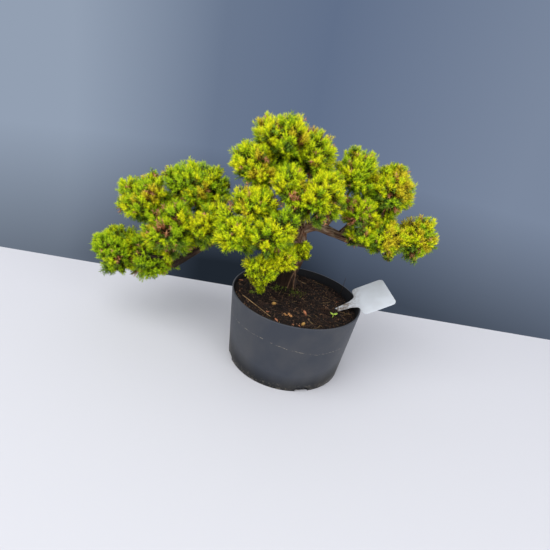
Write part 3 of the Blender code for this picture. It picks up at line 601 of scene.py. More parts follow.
def polypropylene(settings):
    """Recycled polypropylene, injection moulded: dull satin, with faint flow marks and clinging dust."""
    material, tree, shader = new_material("moulded_polypropylene", settings.plastic, 0.42, 0.22)
    at = add_node(tree, "ShaderNodeTexCoord").outputs["Object"]
    axes = add_node(tree, "ShaderNodeSeparateXYZ", {"Vector": at}).outputs
    cloud = add_node(tree, "ShaderNodeTexNoise",
                     {"Vector": at, "Scale": 1 / (30 * MM), "Detail": 3.0, "Roughness": 0.55})
    speck = add_node(tree, "ShaderNodeTexNoise",
                     {"Vector": at, "Scale": 1 / (2.5 * MM), "Detail": 5.0, "Roughness": 0.65})
    # Water once stood aslant here, and left its lime in a thin broken line that climbs to one side
    around = add_node(tree, "ShaderNodeMath", {0: axes["Y"], 1: axes["X"]}, operation="ARCTAN2")
    climb = add_node(tree, "ShaderNodeMapRange",
                     {"Value": around, "From Min": math.radians(-65), "From Max": math.radians(-111),
                      "To Min": 0.0, "To Max": 6.7 * MM})
    waves = add_node(tree, "ShaderNodeTexNoise",
                     {"Vector": at, "Scale": 1 / (6 * MM), "Detail": 4.0, "Roughness": 0.55})
    ragged = add_node(tree, "ShaderNodeMath", {0: waves, 1: 2.4 * MM, 2: climb}, operation="MULTIPLY_ADD")
    off = add_node(tree, "ShaderNodeMath", {0: axes["Z"], 1: ragged}, operation="SUBTRACT")
    near = add_node(tree, "ShaderNodeMath", {0: off, 1: settings.line_height - 1.2 * MM, 2: 0.25 * MM},
                    operation="COMPARE")
    crust = add_node(tree, "ShaderNodeTexNoise",
                     {"Vector": at, "Scale": 1 / (3 * MM), "Detail": 5.0, "Roughness": 0.7})
    left = add_node(tree, "ShaderNodeValToRGB", {"Fac": crust}, [(0.47, 0.0), (0.57, 0.62)])
    lime = add_node(tree, "ShaderNodeMath", {0: near, 1: left}, operation="MULTIPLY")
    # Splashes of soil near the foot and a haze of dust
    foot = add_node(tree, "ShaderNodeMapRange",
                    {"Value": axes["Z"], "From Min": 0.0, "From Max": 9 * MM, "To Min": 0.55, "To Max": 0.0})
    drops = add_node(tree, "ShaderNodeValToRGB", {"Fac": speck}, [(0.52, 0.0), (0.66, 1.0)])
    splash = add_node(tree, "ShaderNodeMath", {0: foot, 1: drops}, operation="MULTIPLY")
    dust = add_node(tree, "ShaderNodeMapRange",
                    {"Value": cloud, "From Min": 0.4, "From Max": 0.75, "To Min": 0.0, "To Max": 0.06})
    dirt = add_node(tree, "ShaderNodeMath", {0: lime, 1: splash}, operation="MAXIMUM")
    dirt = add_node(tree, "ShaderNodeMath", {0: dirt, 1: dust}, operation="MAXIMUM")
    # Painted shade: the foot is near black, and the painted shade climbs higher away from the front
    tilted = add_node(tree, "ShaderNodeMath", {0: axes["Y"], 1: -0.34, 2: axes["Z"]},
                      operation="MULTIPLY_ADD")
    shadowed = add_node(tree, "ShaderNodeMapRange",
                    {"Value": tilted, "From Min": 22 * MM, "From Max": 40 * MM, "To Min": 1.0, "To Max": 0.0})
    wall = add_node(tree, "ShaderNodeMix", {"Factor": shadowed, 6: rgba(settings.plastic), 7: rgba("#0a0c10")},
                    data_type="RGBA").outputs[2]
    colour = add_node(tree, "ShaderNodeMix", {"Factor": dirt, 6: wall, 7: rgba(settings.grime)},
                      data_type="RGBA").outputs[2]
    rough = add_node(tree, "ShaderNodeMapRange", {"Value": speck, "To Min": 0.36, "To Max": 0.52})
    grain = add_node(tree, "ShaderNodeBump", {"Height": speck, "Strength": 0.12, "Distance": 0.1 * MM})
    tree.links.new(colour, shader.inputs["Base Color"])
    tree.links.new(rough.outputs[0], shader.inputs["Roughness"])
    tree.links.new(grain.outputs[0], shader.inputs["Normal"])
    return material


def wall_radius(settings, height):
    """The pot's outer radius at a height."""
    return settings.foot_radius + (settings.rim_radius - settings.foot_radius) * height / settings.height


def pot_mesh(settings):
    """The pot's shell, with a rounded rim and foot, and a ring moulded under the floor."""
    wall, top, foot = settings.wall, settings.height, settings.foot_radius
    inner = [(0, wall), (foot - wall - 1 * MM, wall), (wall_radius(settings, wall) - wall, wall + 1 * MM)]
    inner += [(wall_radius(settings, top * k / 6) - wall, top * k / 6) for k in range(2, 6)]
    rim = [(settings.rim_radius - wall, top - 0.3 * MM), (settings.rim_radius - wall + 0.25 * MM, top),
           (settings.rim_radius - 0.3 * MM, top), (settings.rim_radius, top - 0.35 * MM)]
    outer = [(wall_radius(settings, top * k / 8), top * k / 8) for k in range(7, 0, -1)]
    base = [(foot, 0.7 * MM), (foot - 0.25 * MM, 0.2 * MM), (foot - 0.8 * MM, 0), (46 * MM, 0),
            (45.4 * MM, 0.7 * MM), (22.6 * MM, 0.7 * MM), (22 * MM, 0), (0, 0)]
    return turned_mesh("pot_shell", inner + rim + outer + base, 128)


def notch_cutter(settings, direction):
    """The block that cuts a drainage notch with rounded upper corners into the foot."""
    bm = bmesh.new()
    bmesh.ops.create_cube(bm, size=1.0)
    sizes = Matrix.Diagonal((2 * settings.notch_depth, settings.notch_width, 2 * settings.notch_height, 1))
    bmesh.ops.transform(bm, matrix=sizes, verts=bm.verts)
    upper = [e for e in bm.edges if abs(e.verts[0].co.x - e.verts[1].co.x) > 1 * MM and e.verts[0].co.z > 0]
    bmesh.ops.bevel(bm, geom=upper, offset=1.1 * MM, segments=3, affect="EDGES")
    stand = Matrix.Rotation(direction, 4, "Z") @ Matrix.Translation((settings.foot_radius, 0, 0))
    bmesh.ops.transform(bm, matrix=stand, verts=bm.verts)
    return new_piece("notch", mesh_from(bm, "notch", smooth=False))


class BONSAI_OT_pot(bpy.types.Operator):
    """Make the pot"""

    bl_idname = "bonsai.pot"
    bl_label = "Pot"

    def execute(self, context):
        settings = context.scene.bonsai_pot
        # Painted shade: the inside of the wall is near black, and has less sheen
        inner_shade = new_material("peat_stained_polypropylene", "#17181b", 0.6, 0.2)[0]
        pot = new_piece("pot_shell", pot_mesh(settings), [polypropylene(settings), inner_shade])
        for face in pot.data.polygons:
            inside = face.center.xy.dot(face.normal.xy) < 0 and face.center.z > settings.wall
            face.material_index = int(inside)
        cutters = []
        for k in range(settings.notches):
            cutters.append(notch_cutter(settings, settings.notch_turn + math.tau * k / settings.notches))
            cut = pot.modifiers.new("Notch", "BOOLEAN")
            cut.object = cutters[-1]
            cut.solver = "EXACT"
        bake(pot)
        for cutter in cutters:
            bpy.data.objects.remove(cutter)
        pot.data.shade_smooth()
        pot.data.set_sharp_from_angle(angle=math.radians(40))
        settle(pot, "pot", "pot")
        return {"FINISHED"}


# --- Soil -----------------------------------------------------------------------------------------

BED_RINGS = 80
BED_STEPS = 200
BED_FOOT = (58.6 * MM, 1.9 * MM)  # radius and height of the bed's lower edge, inside the pot
HEAP_PLACE = (44 * MM, -1 * MM)  # where the label's spike goes in, with the soil pushed up round it
HEAP_HEIGHT = 2.6 * MM
HEAP_WIDTH = 7 * MM
CRUMB_FINISHES = (0, 0, 1, 1, 2)  # two kinds of peat, each twice as common as bark fines
# things that lie on the soil: finish, variant, lift, width and thickness as shares of the size, and for each
# its place in centimetres, its direction in degrees and its size in centimetres
SOIL_PIECES = {
    "pebble": (3, 1, 0.5, 0.7, 0.75, [((-2.16, -2.19), 0, 0.27), ((0.89, -4.63), 60, 0.25)]),
    "tan_flake": (4, 5, 0.22, 0.7, 1.0, [((-0.80, -3.55), 10, 0.28), ((-0.55, -3.35), 70, 0.22),
                                         ((-0.95, -3.3), 130, 0.18), ((-0.35, -3.7), 150, 0.20)]),
    "red_flake": (5, 6, 0.22, 0.35, 1.0, [((-6.0, 1.15), 40, 0.34), ((-2.4, 3.25), 10, 0.40),
                                          ((-2.58, -3.93), 30, 0.24), ((-1.68, -5.0), 125, 0.36),
                                          ((-0.07, -5.1), 120, 0.22), ((0.56, -4.9), 100, 0.26),
                                          ((1.04, -2.4), 110, 0.45), ((4.55, 1.68), 60, 0.22),
                                          ((-4.4, 0.4), 75, 0.20)]),
}
FIBRE_SHARES = (9, 9, 1)  # dark rootlets, pale ones and bits of straw
# a stalk of straw, a dark stick and a wiry root: start and end in centimetres, radius in millimetres, finish
# and variant
LONG_STRANDS = [((-5.38, -1.95, 7.36), (-2.2, -4.55, 7.2), 0.42, 2, 0),
                ((5.0, 3.6, 6.8), (5.15, 3.5, 9.0), 0.35, 0, 1),
                ((0.6, 5.2, 6.9), (1.9, 4.6, 7.5), 0.45, 0, 2)]
MOSS_BLADES = 300
# x, y and width of the patches of moss in centimetres. The first is twice as full, so it stands twice
MOSS_PATCHES = ((0.05, 1.5, 0.8), (0.05, 1.5, 0.8), (-2.05, 1.4, 0.7), (-4.6, -0.9, 0.3))
SEEDLING_PLACE = (3.9 * CM, -1.74 * CM)
SEED_LEAVES = (0.3, 0.3 + math.pi * 0.9)  # their directions


class SoilSettings(bpy.types.PropertyGroup):
    """Sizes and colours of the soil and what lies on it."""

    level: FloatProperty(name="Level", description="Height of the soil's surface",
                         default=0.070, unit="LENGTH")
    slope: FloatProperty(name="Slope", description="Fall of the surface towards the label", default=-0.06)
    rise: FloatProperty(name="Rise", description="Height of the soft lumps", default=0.0016, unit="LENGTH")
    radius: FloatProperty(name="Radius", description="Radius of the surface", default=0.0644, unit="LENGTH")
    crumbs: IntProperty(name="Crumbs", description="Number of crumbs of peat", default=2600, min=0)
    fibres: IntProperty(name="Fibres", description="Number of rootlets and fibres", default=900, min=0)
    dry_peat: FloatVectorProperty(name="Dry peat", description="Colour of the driest crumbs of peat",
                                  subtype="COLOR", default=linear("#463226"))


def soil_height(settings, x, y):
    """The soil's surface: it slopes a little, has soft lumps, and is heaped round the label's spike."""
    lumps = (math.sin(210 * x + 1.3) * math.cos(190 * y - 0.4) + 0.6 * math.sin(330 * y + 260 * x)) / 1.6
    off = (x - HEAP_PLACE[0]) ** 2 + (y - HEAP_PLACE[1]) ** 2
    heap = HEAP_HEIGHT * math.exp(-off / HEAP_WIDTH ** 2)
    return settings.level + settings.slope * x + settings.rise * lumps + heap


def crumbled_height(settings, x, y):
    """The surface with its crumbs and hollows."""
    p = Vector((x, y, 0))
    rough = 0.9 * noise.noise(p * 160) + 0.7 * abs(noise.noise(p * 420)) + 0.35 * noise.noise(p * 1100)
    edge = max(0.0, math.hypot(x, y) / settings.radius - 0.9) * 10
    return soil_height(settings, x, y) + 1.3 * MM * rough * (1 - 0.5 * edge) - 0.4 * MM


def soil_normal(settings, x, y):
    """Which way the smooth surface faces."""
    e = 2 * MM
    slope_x = (soil_height(settings, x + e, y) - soil_height(settings, x - e, y)) / (2 * e)
    slope_y = (soil_height(settings, x, y + e) - soil_height(settings, x, y - e)) / (2 * e)
    return Vector((-slope_x, -slope_y, 1)).normalized()


def peat(settings):
    """Moist peat with bark fines: near black and matt in its hollows, warmer and drier on its crumbs."""
    material, tree, shader = new_material("peat_soil", "#35261d", 0.92, 0.25)
    at = add_node(tree, "ShaderNodeTexCoord").outputs["Object"]
    coarse = add_node(tree, "ShaderNodeTexNoise",
                      {"Vector": at, "Scale": 1 / (6 * MM), "Detail": 5.0, "Roughness": 0.7})
    fine = add_node(tree, "ShaderNodeTexNoise",
                    {"Vector": at, "Scale": 1 / (1.2 * MM), "Detail": 3.0, "Roughness": 0.7})
    both = add_node(tree, "ShaderNodeMath", {0: coarse, 1: fine}, operation="MULTIPLY")
    colour = add_node(tree, "ShaderNodeValToRGB", {"Fac": both},
                      [(0.14, "#060403"), (0.27, "#150d0a"), (0.38, "#271a13"), (0.50, settings.dry_peat)])
    bump = add_node(tree, "ShaderNodeBump", {"Height": fine, "Strength": 0.7, "Distance": 0.6 * MM})
    tree.links.new(colour.outputs[0], shader.inputs["Base Color"])
    tree.links.new(bump.outputs[0], shader.inputs["Normal"])
    return material


def clod_mesh(name, rng, flat=1.0):
    """A crumb, pebble or flake of unit size: an uneven ball, pressed flat where flat is small."""
    bm = bmesh.new()
    bmesh.ops.create_icosphere(bm, subdivisions=1, radius=1.0)
    for vert in bm.verts:
        vert.co *= rng.uniform(0.72, 1.15)
        vert.co.z *= flat
    return mesh_from(bm, name, smooth=flat > 0.5)


def strew(name, rows, meshes, finishes, spread, seed):
    """Strews variants over the soil as one piece, by rows of points."""
    variants = variant_set(name, meshes)
    piece = scatter(name, rows, variants, scatter_tree(f"Strew {name}", finishes), spread, seed)
    clear_variants(variants)
    settle(piece, "soil")


def random_spot(settings, rng, limit):
    """A place on the soil, even all over, within a share of its radius."""
    reach = settings.radius * limit * math.sqrt(rng.random())
    turn = rng.uniform(0, math.tau)
    return reach * math.cos(turn), reach * math.sin(turn)


class BONSAI_OT_soil(bpy.types.Operator):
    """Make the soil and what lies on it"""

    bl_idname = "bonsai.soil"
    bl_label = "Soil"

    def execute(self, context):
        settings = context.scene.bonsai_soil
        rng = random.Random("soil")
        self.bed(settings)
        self.crumbs(settings, rng)
        self.fibres(settings, rng)
        self.moss(settings, rng)
        self.seedling(settings)
        return {"FINISHED"}

    def bed(self, settings):
        """The body of the soil, with a crumbled top."""
        profile = [(0, settings.level)]
        profile += [(settings.radius * k / BED_RINGS, settings.level) for k in range(1, BED_RINGS + 1)]
        profile += [BED_FOOT, (0, BED_FOOT[1])]
        mesh = turned_mesh("soil_bed", profile, BED_STEPS)
        for vert in mesh.vertices:
            if vert.co.z > settings.level - 1 * MM:
                vert.co.z = crumbled_height(settings, vert.co.x, vert.co.y)
        mesh.shade_smooth()
        settle(new_piece("soil_bed", mesh, [peat(settings)]), "soil", "soil")

    def crumbs(self, settings, rng):
        """Crumbs of peat all over, most of them small, and the pebbles and flakes in their places."""
        rows = []
        for _ in range(settings.crumbs):
            x, y = random_spot(settings, rng, 0.97)
            size = MM * (0.35 + 1.1 * rng.random() ** 2.5)
            where = (x, y, crumbled_height(settings, x, y) + 0.2 * size)
            facing = random_direction(rng)
            stretch = (size, size * rng.uniform(0.6, 1), size * rng.uniform(0.5, 0.9))
            rows.append((where, facing, stretch, rng.uniform(0, 6), rng.randrange(4),
                         rng.choice(CRUMB_FINISHES)))
        for shade, variant, lift, width, thickness, found in SOIL_PIECES.values():
            for (x, y), turn, size in found:
                x, y, size = x * CM, y * CM, size * CM
                where = (x, y, crumbled_height(settings, x, y) + lift * size)
                tilt = Vector((rng.uniform(-0.25, 0.25), rng.uniform(-0.25, 0.25), 0))
                up = (soil_normal(settings, x, y) + tilt).normalized()
                stretch = (size, size * width, size * thickness)
                rows.append((where, up, stretch, math.radians(turn), variant, shade))
        clods = [clod_mesh("clod", rng) for _ in range(5)] + [clod_mesh("flake", rng, 0.2) for _ in range(2)]
        finishes = [mottled("peat_crumb_dark", "#120b08", "#2b1d16", 1.5 * MM),
                    mottled("peat_crumb", "#2d2018", "#4d3829", 1.5 * MM),
                    mottled("bark_fine", "#4a3425", "#785a41", 2 * MM),
                    mottled("pebble_stone", "#7b5830", "#b98f4c", 3 * MM, 0.7),
                    mottled("pale_bark_flake", "#9a683c", "#cf9a62", 2 * MM),
                    mottled("red_bark_flake", "#7d4a32", "#b87a56", 2 * MM)]
        strew("soil_crumbs", rows, clods, finishes, 0.15, 3)

    def fibres(self, settings, rng):
        """Rootlets that lie about and stay clear of the wall, and a few long strands in their places."""
        rows = []
        for _ in range(settings.fibres):
            x, y = random_spot(settings, rng, 0.93)
            length = MM * rng.uniform(4, 15)
            turn = rng.uniform(0, math.tau)
            facing = Vector((math.cos(turn), math.sin(turn), rng.uniform(-0.12, 0.22))).normalized()
            if math.hypot(x + facing.x * length, y + facing.y * length) > settings.radius * 0.95:
                continue
            where = (x, y, crumbled_height(settings, x, y) + 0.5 * MM)
            thick = MM * rng.uniform(0.10, 0.24)
            rows.append((where, facing, (thick, thick, length), rng.uniform(0, 6), rng.randrange(5),
                         rng.choices(range(3), FIBRE_SHARES)[0]))
        for start, end, thick, shade, variant in LONG_STRANDS:
            along = place(end) - place(start)
            stretch = (thick * MM, thick * MM, along.length)
            rows.append((place(start), along.normalized(), stretch, 0.4, variant, shade))
        strands = [strand_mesh("strand", rng, 0.55 * (1 + k)) for k in range(5)]
        finishes = [mottled("rootlet_dark", "#1c100a", "#3a251a", 1 * MM),
                    mottled("rootlet", "#38261b", "#5a3f2e", 1 * MM),
                    mottled("dry_straw", "#8a6f48", "#bb9c6c", 3 * MM)]
        strew("soil_fibres", rows, strands, finishes, 0.0, 4)

    def moss(self, settings, rng):
        """Patches of short moss in front of the trunk."""
        rows = []
        for _ in range(MOSS_BLADES):
            middle_x, middle_y, width = rng.choice(MOSS_PATCHES)
            x = middle_x * CM + rng.gauss(0, width * CM * 0.5)
            y = middle_y * CM + rng.gauss(0, width * CM * 0.5)
            size = MM * rng.uniform(0.8, 1.9)
            lean = Vector((rng.uniform(-0.6, 0.6), rng.uniform(-0.6, 0.6), 1)).normalized()
            rows.append(((x, y, crumbled_height(settings, x, y)), lean, (0.28 * size, 0.28 * size, size),
                         rng.uniform(0, 6), rng.randrange(3), rng.randrange(2)))
        blades = [strand_mesh("moss", rng, 0.3, 3, 2) for _ in range(3)]
        finishes = [mottled("moss_green", "#465618", "#7f8e2a", 2 * MM),
                    mottled("moss_dark", "#2e3a14", "#4e5c20", 2 * MM)]
        strew("moss", rows, blades, finishes, 0.2, 5)

    def seedling(self, settings):
        """A seedling by the label: a short stalk and a pair of round seed leaves, a little cupped."""
        bm = bmesh.new()
        foot = Vector((*SEEDLING_PLACE, 0))
        foot.z = crumbled_height(settings, foot.x, foot.y) - 0.5 * MM
        top = foot + Vector((0.4 * MM, -0.3 * MM, 4.6 * MM))
        rings = []
        for where, radius in ((foot, 0.5 * MM), ((foot + top) / 2, 0.42 * MM), (top, 0.35 * MM)):
            rings.append([bm.verts.new(where + Vector((x, y, 0))) for x, y in circle(radius, 6)])
        skin(bm, rings)
        for angle in SEED_LEAVES:
            out = Vector((math.cos(angle), math.sin(angle), 0.35)).normalized()
            side = out.cross(Vector((0, 0, 1))).normalized()
            rise = side.cross(out)
            rim = []
            for s in range(10):
                turn = math.tau * s / 10
                cup = 0.5 * MM * math.cos(turn) ** 2
                rim.append(top + out * (2.1 * MM * (1 - math.cos(turn))) + side * 1.55 * MM * math.sin(turn)
                           + rise * cup)
            under, upper = [[bm.verts.new(p + rise * lift) for p in rim] for lift in (0.0, 0.25 * MM)]
            bm.faces.new(under[::-1])
            bm.faces.new(upper)
            for s in range(10):
                t = (s + 1) % 10
                bm.faces.new((under[s], under[t], upper[t], upper[s]))
        leaf = mottled("seedling_leaf", "#86ab35", "#b5cf4f", 3 * MM, 0.45, 0.4)
        settle(new_piece("seedling", mesh_from(bm, "seedling"), [leaf]), "soil")


# --- Label ----------------------------------------------------------------------------------------

LABEL_PLACE = (4.67, -0.07, 6.96)  # where it enters the soil, in centimetres
LABEL_HEADING = math.radians(11)
LABEL_LEAN = math.radians(-30)
LABEL_TWIST = math.radians(10)
SPIKE_TIP = 0.4 * MM  # half widths of the spike, from its tip up to where it starts to spread
SPIKE_MIDDLE = 1.9 * MM
SPIKE_AT_SOIL = 3.0 * MM
SPIKE_ABOVE = 4.6 * MM
# how the neck spreads into the head, in millimetres: back from the head, and out from half the neck's width
NECK_CURVE = ((5, -0.5), (2.5, 0.5), (0.9, 2.2), (0.2, 4.6))
CORNER_STEPS = 8


class LabelSettings(bpy.types.PropertyGroup):
    """Sizes and colours of the plant label."""

    head_length: FloatProperty(name="Head length", description="Length of the label's head",
                               default=0.035, unit="LENGTH")
    head_width: FloatProperty(name="Head width", description="Width of the label's head",
                              default=0.041, unit="LENGTH")
    head_start: FloatProperty(name="Head start", description="From the soil to the head",
                              default=0.0195, unit="LENGTH")
    corner: FloatProperty(name="Corner", description="Radius of the head's corners",
                          default=0.0045, unit="LENGTH")
    neck: FloatProperty(name="Neck", description="Half the width where the spike meets the head",
                        default=0.0062, unit="LENGTH")
    spike: FloatProperty(name="Spike", description="Length of the spike in the soil",
                         default=0.030, unit="LENGTH")
    thickness: FloatProperty(name="Thickness", description="Thickness of the plastic",
                             default=0.0008, unit="LENGTH")
    plastic: FloatVectorProperty(name="Plastic", description="Colour of the white plastic",
                                 subtype="COLOR", default=linear("#c5cad1"))


def white_polystyrene(settings):
    """Polystyrene sheet, die cut: bright white, smooth and faintly glossy, with soil smudged on its spike."""
    material, tree, shader = new_material("white_polystyrene", settings.plastic, 0.38, 0.5)
    at = add_node(tree, "ShaderNodeTexCoord").outputs["Object"]
    along = add_node(tree, "ShaderNodeSeparateXYZ", {"Vector": at}).outputs["X"]
    low = add_node(tree, "ShaderNodeMapRange",
                   {"Value": along, "From Min": 52 * MM, "From Max": 68 * MM, "To Min": 1.0, "To Max": 0.0})
    patches = add_node(tree, "ShaderNodeTexNoise",
                       {"Vector": at, "Scale": 1 / (4 * MM), "Detail": 4.0, "Roughness": 0.65})
    smudge = add_node(tree, "ShaderNodeValToRGB", {"Fac": patches}, [(0.38, 0.0), (0.58, 1.0)])
    dirt = add_node(tree, "ShaderNodeMath", {0: low, 1: smudge}, operation="MULTIPLY")
    clouds = add_node(tree, "ShaderNodeTexNoise",
                      {"Vector": at, "Scale": 1 / (14 * MM), "Detail": 2.0, "Roughness": 0.55})
    haze = add_node(tree, "ShaderNodeMapRange",
                    {"Value": clouds, "From Min": 0.4, "From Max": 0.8, "To Min": 0.0, "To Max": 0.16})
    dirt = add_node(tree, "ShaderNodeMath", {0: dirt, 1: haze}, operation="MAXIMUM")
    colour = add_node(tree, "ShaderNodeMix", {"Factor": dirt, 6: rgba(settings.plastic), 7: rgba("#6d5f52")},
                      data_type="RGBA").outputs[2]
    waves = add_node(tree, "ShaderNodeTexNoise",
                     {"Vector": at, "Scale": 1 / (3 * MM), "Detail": 2.0, "Roughness": 0.55})
    bump = add_node(tree, "ShaderNodeBump", {"Height": waves, "Strength": 0.05, "Distance": 0.1 * MM})
    tree.links.new(colour, shader.inputs["Base Color"])
    tree.links.new(bump.outputs[0], shader.inputs["Normal"])
    return material


def label_outline(settings):
    """Half of the label's outline, along +X from the tip of its spike, as (x, half width)."""
    start, half, corner = settings.head_start, settings.head_width / 2, settings.corner
    outline = [(-settings.spike, SPIKE_TIP), (-settings.spike * 0.5, SPIKE_MIDDLE), (0.0, SPIKE_AT_SOIL),
               (start * 0.6, SPIKE_ABOVE)]
    outline += [(start - back * MM, settings.neck + out * MM) for back, out in NECK_CURVE]
    for x, first, inward in ((start, math.pi, 1), (start + settings.head_length, math.pi / 2, -1)):
        for k in range(CORNER_STEPS + 1):
            angle = first - k * math.pi / 2 / CORNER_STEPS
            outline.append((x + inward * corner + corner * math.cos(angle),
                            half - corner + corner * math.sin(angle)))
    return outline


class BONSAI_OT_label(bpy.types.Operator):
    """Make the blank plant label"""

    bl_idname = "bonsai.label"
    bl_label = "Label"

    def execute(self, context):
        settings = context.scene.bonsai_label
        outline = label_outline(settings)
        ring = outline + [(x, -y) for x, y in reversed(outline)]
        bm = bmesh.new()
        face = bm.faces.new([bm.verts.new((x, y, -settings.thickness / 2)) for x, y in ring])
        grown = bmesh.ops.extrude_face_region(bm, geom=[face])
        lifted = [v for v in grown["geom"] if isinstance(v, bmesh.types.BMVert)]
        bmesh.ops.translate(bm, verts=lifted, vec=(0, 0, settings.thickness))
        turn = Matrix.Rotation(LABEL_HEADING, 4, "Z") @ Matrix.Rotation(LABEL_LEAN, 4, "Y")
        stand = Matrix.Translation(place(LABEL_PLACE)) @ turn @ Matrix.Rotation(LABEL_TWIST, 4, "X")
        bmesh.ops.transform(bm, matrix=stand, verts=bm.verts)
        mesh = mesh_from(bm, "blank_label", smooth=False)
        label = new_piece("blank_label", mesh, [white_polystyrene(settings)])
        edge = label.modifiers.new("Edge", "BEVEL")
        edge.width = 0.18 * MM
        edge.segments = 2
        edge.limit_method = "ANGLE"
        edge.angle_limit = math.radians(60)
        bake(label)
        label.data.shade_smooth()
        label.data.set_sharp_from_angle(angle=math.radians(50))
        settle(label, "label", "plant_label")
        return {"FINISHED"}


# --- Wood -----------------------------------------------------------------------------------------

TRUNK_RINGS = 170
TRUNK_SIDES = 64
BOUGH_RINGS = 130
BOUGH_SIDES = 40
TWIG_RINGS = 36
TWIG_SIDES = 16
STEM_RINGS = 44
STEM_SIDES = 10


class WoodSettings(bpy.types.PropertyGroup):
    """Relief and colours of the bark."""

    trunk_relief: FloatProperty(name="Trunk relief", description="Depth of the trunk's bark",
                                default=0.0011, unit="LENGTH")
    limb_relief: FloatProperty(name="Limb relief", description="Depth of a thick bough's bark",
                               default=0.0006, unit="LENGTH")
    strip: FloatProperty(name="Strip width", description="Width of a strip of bark",
                         default=0.0026, unit="LENGTH")
    grey: FloatVectorProperty(name="Grey bark", description="Colour of the outer ridges of weathered strips",
                              subtype="COLOR", default=linear("#a6927c"))
    red: FloatVectorProperty(name="Red bark", description="Colour of the outer ridges of fresh strips",
                             subtype="COLOR", default=linear("#9c785a"))
    # painted shade: the near-black brown laid over the foot of the trunk
    shadowed: FloatVectorProperty(name="Damp bark", description="Colour of damp bark at the foot",
                              subtype="COLOR", default=linear("#1e140e"))


def juniper_bark(settings):
    """Juniper bark: thin fibrous strips along the limb that flake, grey outside and red brown beneath."""
    material, tree, shader = new_material("juniper_bark", "#937d69", 0.9, 0.25)
    grain = add_node(tree, "ShaderNodeAttribute", attribute_name="grain").outputs["Vector"]
    # Squeezed along the limb, so that each strip is about eight times as long as it is wide
    drawn = add_node(tree, "ShaderNodeMapping", {"Vector": grain, "Scale": (1.0, 1.0, 0.12)})
    strips = add_node(tree, "ShaderNodeTexNoise",
                      {"Vector": drawn, "Scale": 1 / settings.strip, "Detail": 4.0, "Roughness": 0.65})
    threads = add_node(tree, "ShaderNodeTexNoise",
                       {"Vector": drawn, "Scale": 1 / (0.9 * MM), "Detail": 3.0, "Roughness": 0.7})
    weather = add_node(tree, "ShaderNodeTexNoise",
                       {"Vector": grain, "Scale": 1 / (14 * MM), "Detail": 3.0, "Roughness": 0.55})
    mixed = add_node(tree, "ShaderNodeMath", {0: strips, 1: 0.65}, operation="MULTIPLY")
    mixed = add_node(tree, "ShaderNodeMath", {0: threads, 1: 0.35, 2: mixed}, operation="MULTIPLY_ADD")
    grey = add_node(tree, "ShaderNodeValToRGB", {"Fac": mixed},
                    [(0.36, "#241a13"), (0.45, "#523e2e"), (0.52, "#7e6955"), (0.62, settings.grey)])
    red = add_node(tree, "ShaderNodeValToRGB", {"Fac": mixed},
                   [(0.36, "#22150e"), (0.46, "#523525"), (0.54, "#79533a"), (0.64, settings.red)])
    share = add_node(tree, "ShaderNodeValToRGB", {"Fac": weather}, [(0.42, 0.0), (0.6, 1.0)])
    dry = add_node(tree, "ShaderNodeMix", {"Factor": share, 6: grey, 7: red}, data_type="RGBA").outputs[2]
    # Painted shade: the foot of the trunk, under the crown, is darker
    at = add_node(tree, "ShaderNodeTexCoord").outputs["Object"]
    height = add_node(tree, "ShaderNodeSeparateXYZ", {"Vector": at}).outputs["Z"]
    shadowed = add_node(tree, "ShaderNodeMapRange", {"Value": height, "From Min": 88 * MM, "From Max": 122 * MM,
                                                 "To Min": 0.9, "To Max": 0.0})
    colour = add_node(tree, "ShaderNodeMix", {"Factor": shadowed, 6: dry, 7: rgba(settings.shadowed)},
                      data_type="RGBA").outputs[2]
    bump = add_node(tree, "ShaderNodeBump", {"Height": mixed, "Strength": 0.8, "Distance": 0.8 * MM})
    tree.links.new(colour, shader.inputs["Base Color"])
    tree.links.new(bump.outputs[0], shader.inputs["Normal"])
    return material


def bark_relief(grain, strip, seed):
    """How far the bark stands out, from -1 to 1: strips along the limb, torn in places, on soft knots."""
    p = Vector((grain.x / strip, grain.y / strip, grain.z / (strip * 9))) + Vector((seed, seed * 2, 0))
    strips = 1 - 2 * abs(noise.noise(p))
    torn = noise.noise(Vector((p.x * 0.8, p.y * 0.8, p.z * 4)) + Vector((7, 3, 1)))
    knots = noise.noise(grain * 55 + Vector((seed, 0, 0)))
    return 0.55 * (strips - 0.4) + 0.25 * torn + 0.6 * knots


def flared_radius(radius, height, angle):
    """The trunk's radius at a height above the soil: it swells into a few root lobes at its foot."""
    fade = max(0.0, 1.0 - height / (FLARE_HEIGHT * CM)) ** 2
    lobes = 0.62 + 0.38 * math.cos(FLARE_LOBES * angle + 0.7)
    ridge = 1.0 + 0.045 * math.sin(3 * angle + 140 * height)
    return radius * ridge + FLARE_REACH * CM * fade * lobes


def limb_mesh(name, path, radii, sides, relief, strip, seed, flare=False):
    """A limb's skin: rings along its line, pushed in and out by the bark, with closed ends."""
    bm = bmesh.new()
    grain_layer = bm.verts.layers.float_vector.new("grain")
    last = len(path) - 1
    normal = (path[1] - path[0]).orthogonal().normalized()
    rings, run = [], 0.0
    for k, (centre, radius) in enumerate(zip(path, radii)):
        along = (path[min(k + 1, last)] - path[max(k - 1, 0)]).normalized()
        run += (centre - path[max(k - 1, 0)]).length
        if flare and k == 0:
            along = Vector((0, 0, 1))
        if flare:
            across = along.cross(Vector((0, 1, 0))).normalized()
        else:
            across = (normal - along * normal.dot(along)).normalized()
            normal = across
        behind = along.cross(across)
        ring = []
        for s in range(sides):
            angle = math.tau * s / sides
            size = flared_radius(radius, centre.z - path[0].z, angle) if flare else radius
            spiral = angle + 14 * run
            grain = Vector((size * math.cos(spiral), size * math.sin(spiral), run))
            size += relief * min(1.0, radius / (4 * MM)) * bark_relief(grain, strip, seed)
            vert = bm.verts.new(centre + size * (math.cos(angle) * across + math.sin(angle) * behind))
            vert[grain_layer] = grain
            ring.append(vert)
        rings.append(ring)
    skin(bm, rings)
    return mesh_from(bm, name)


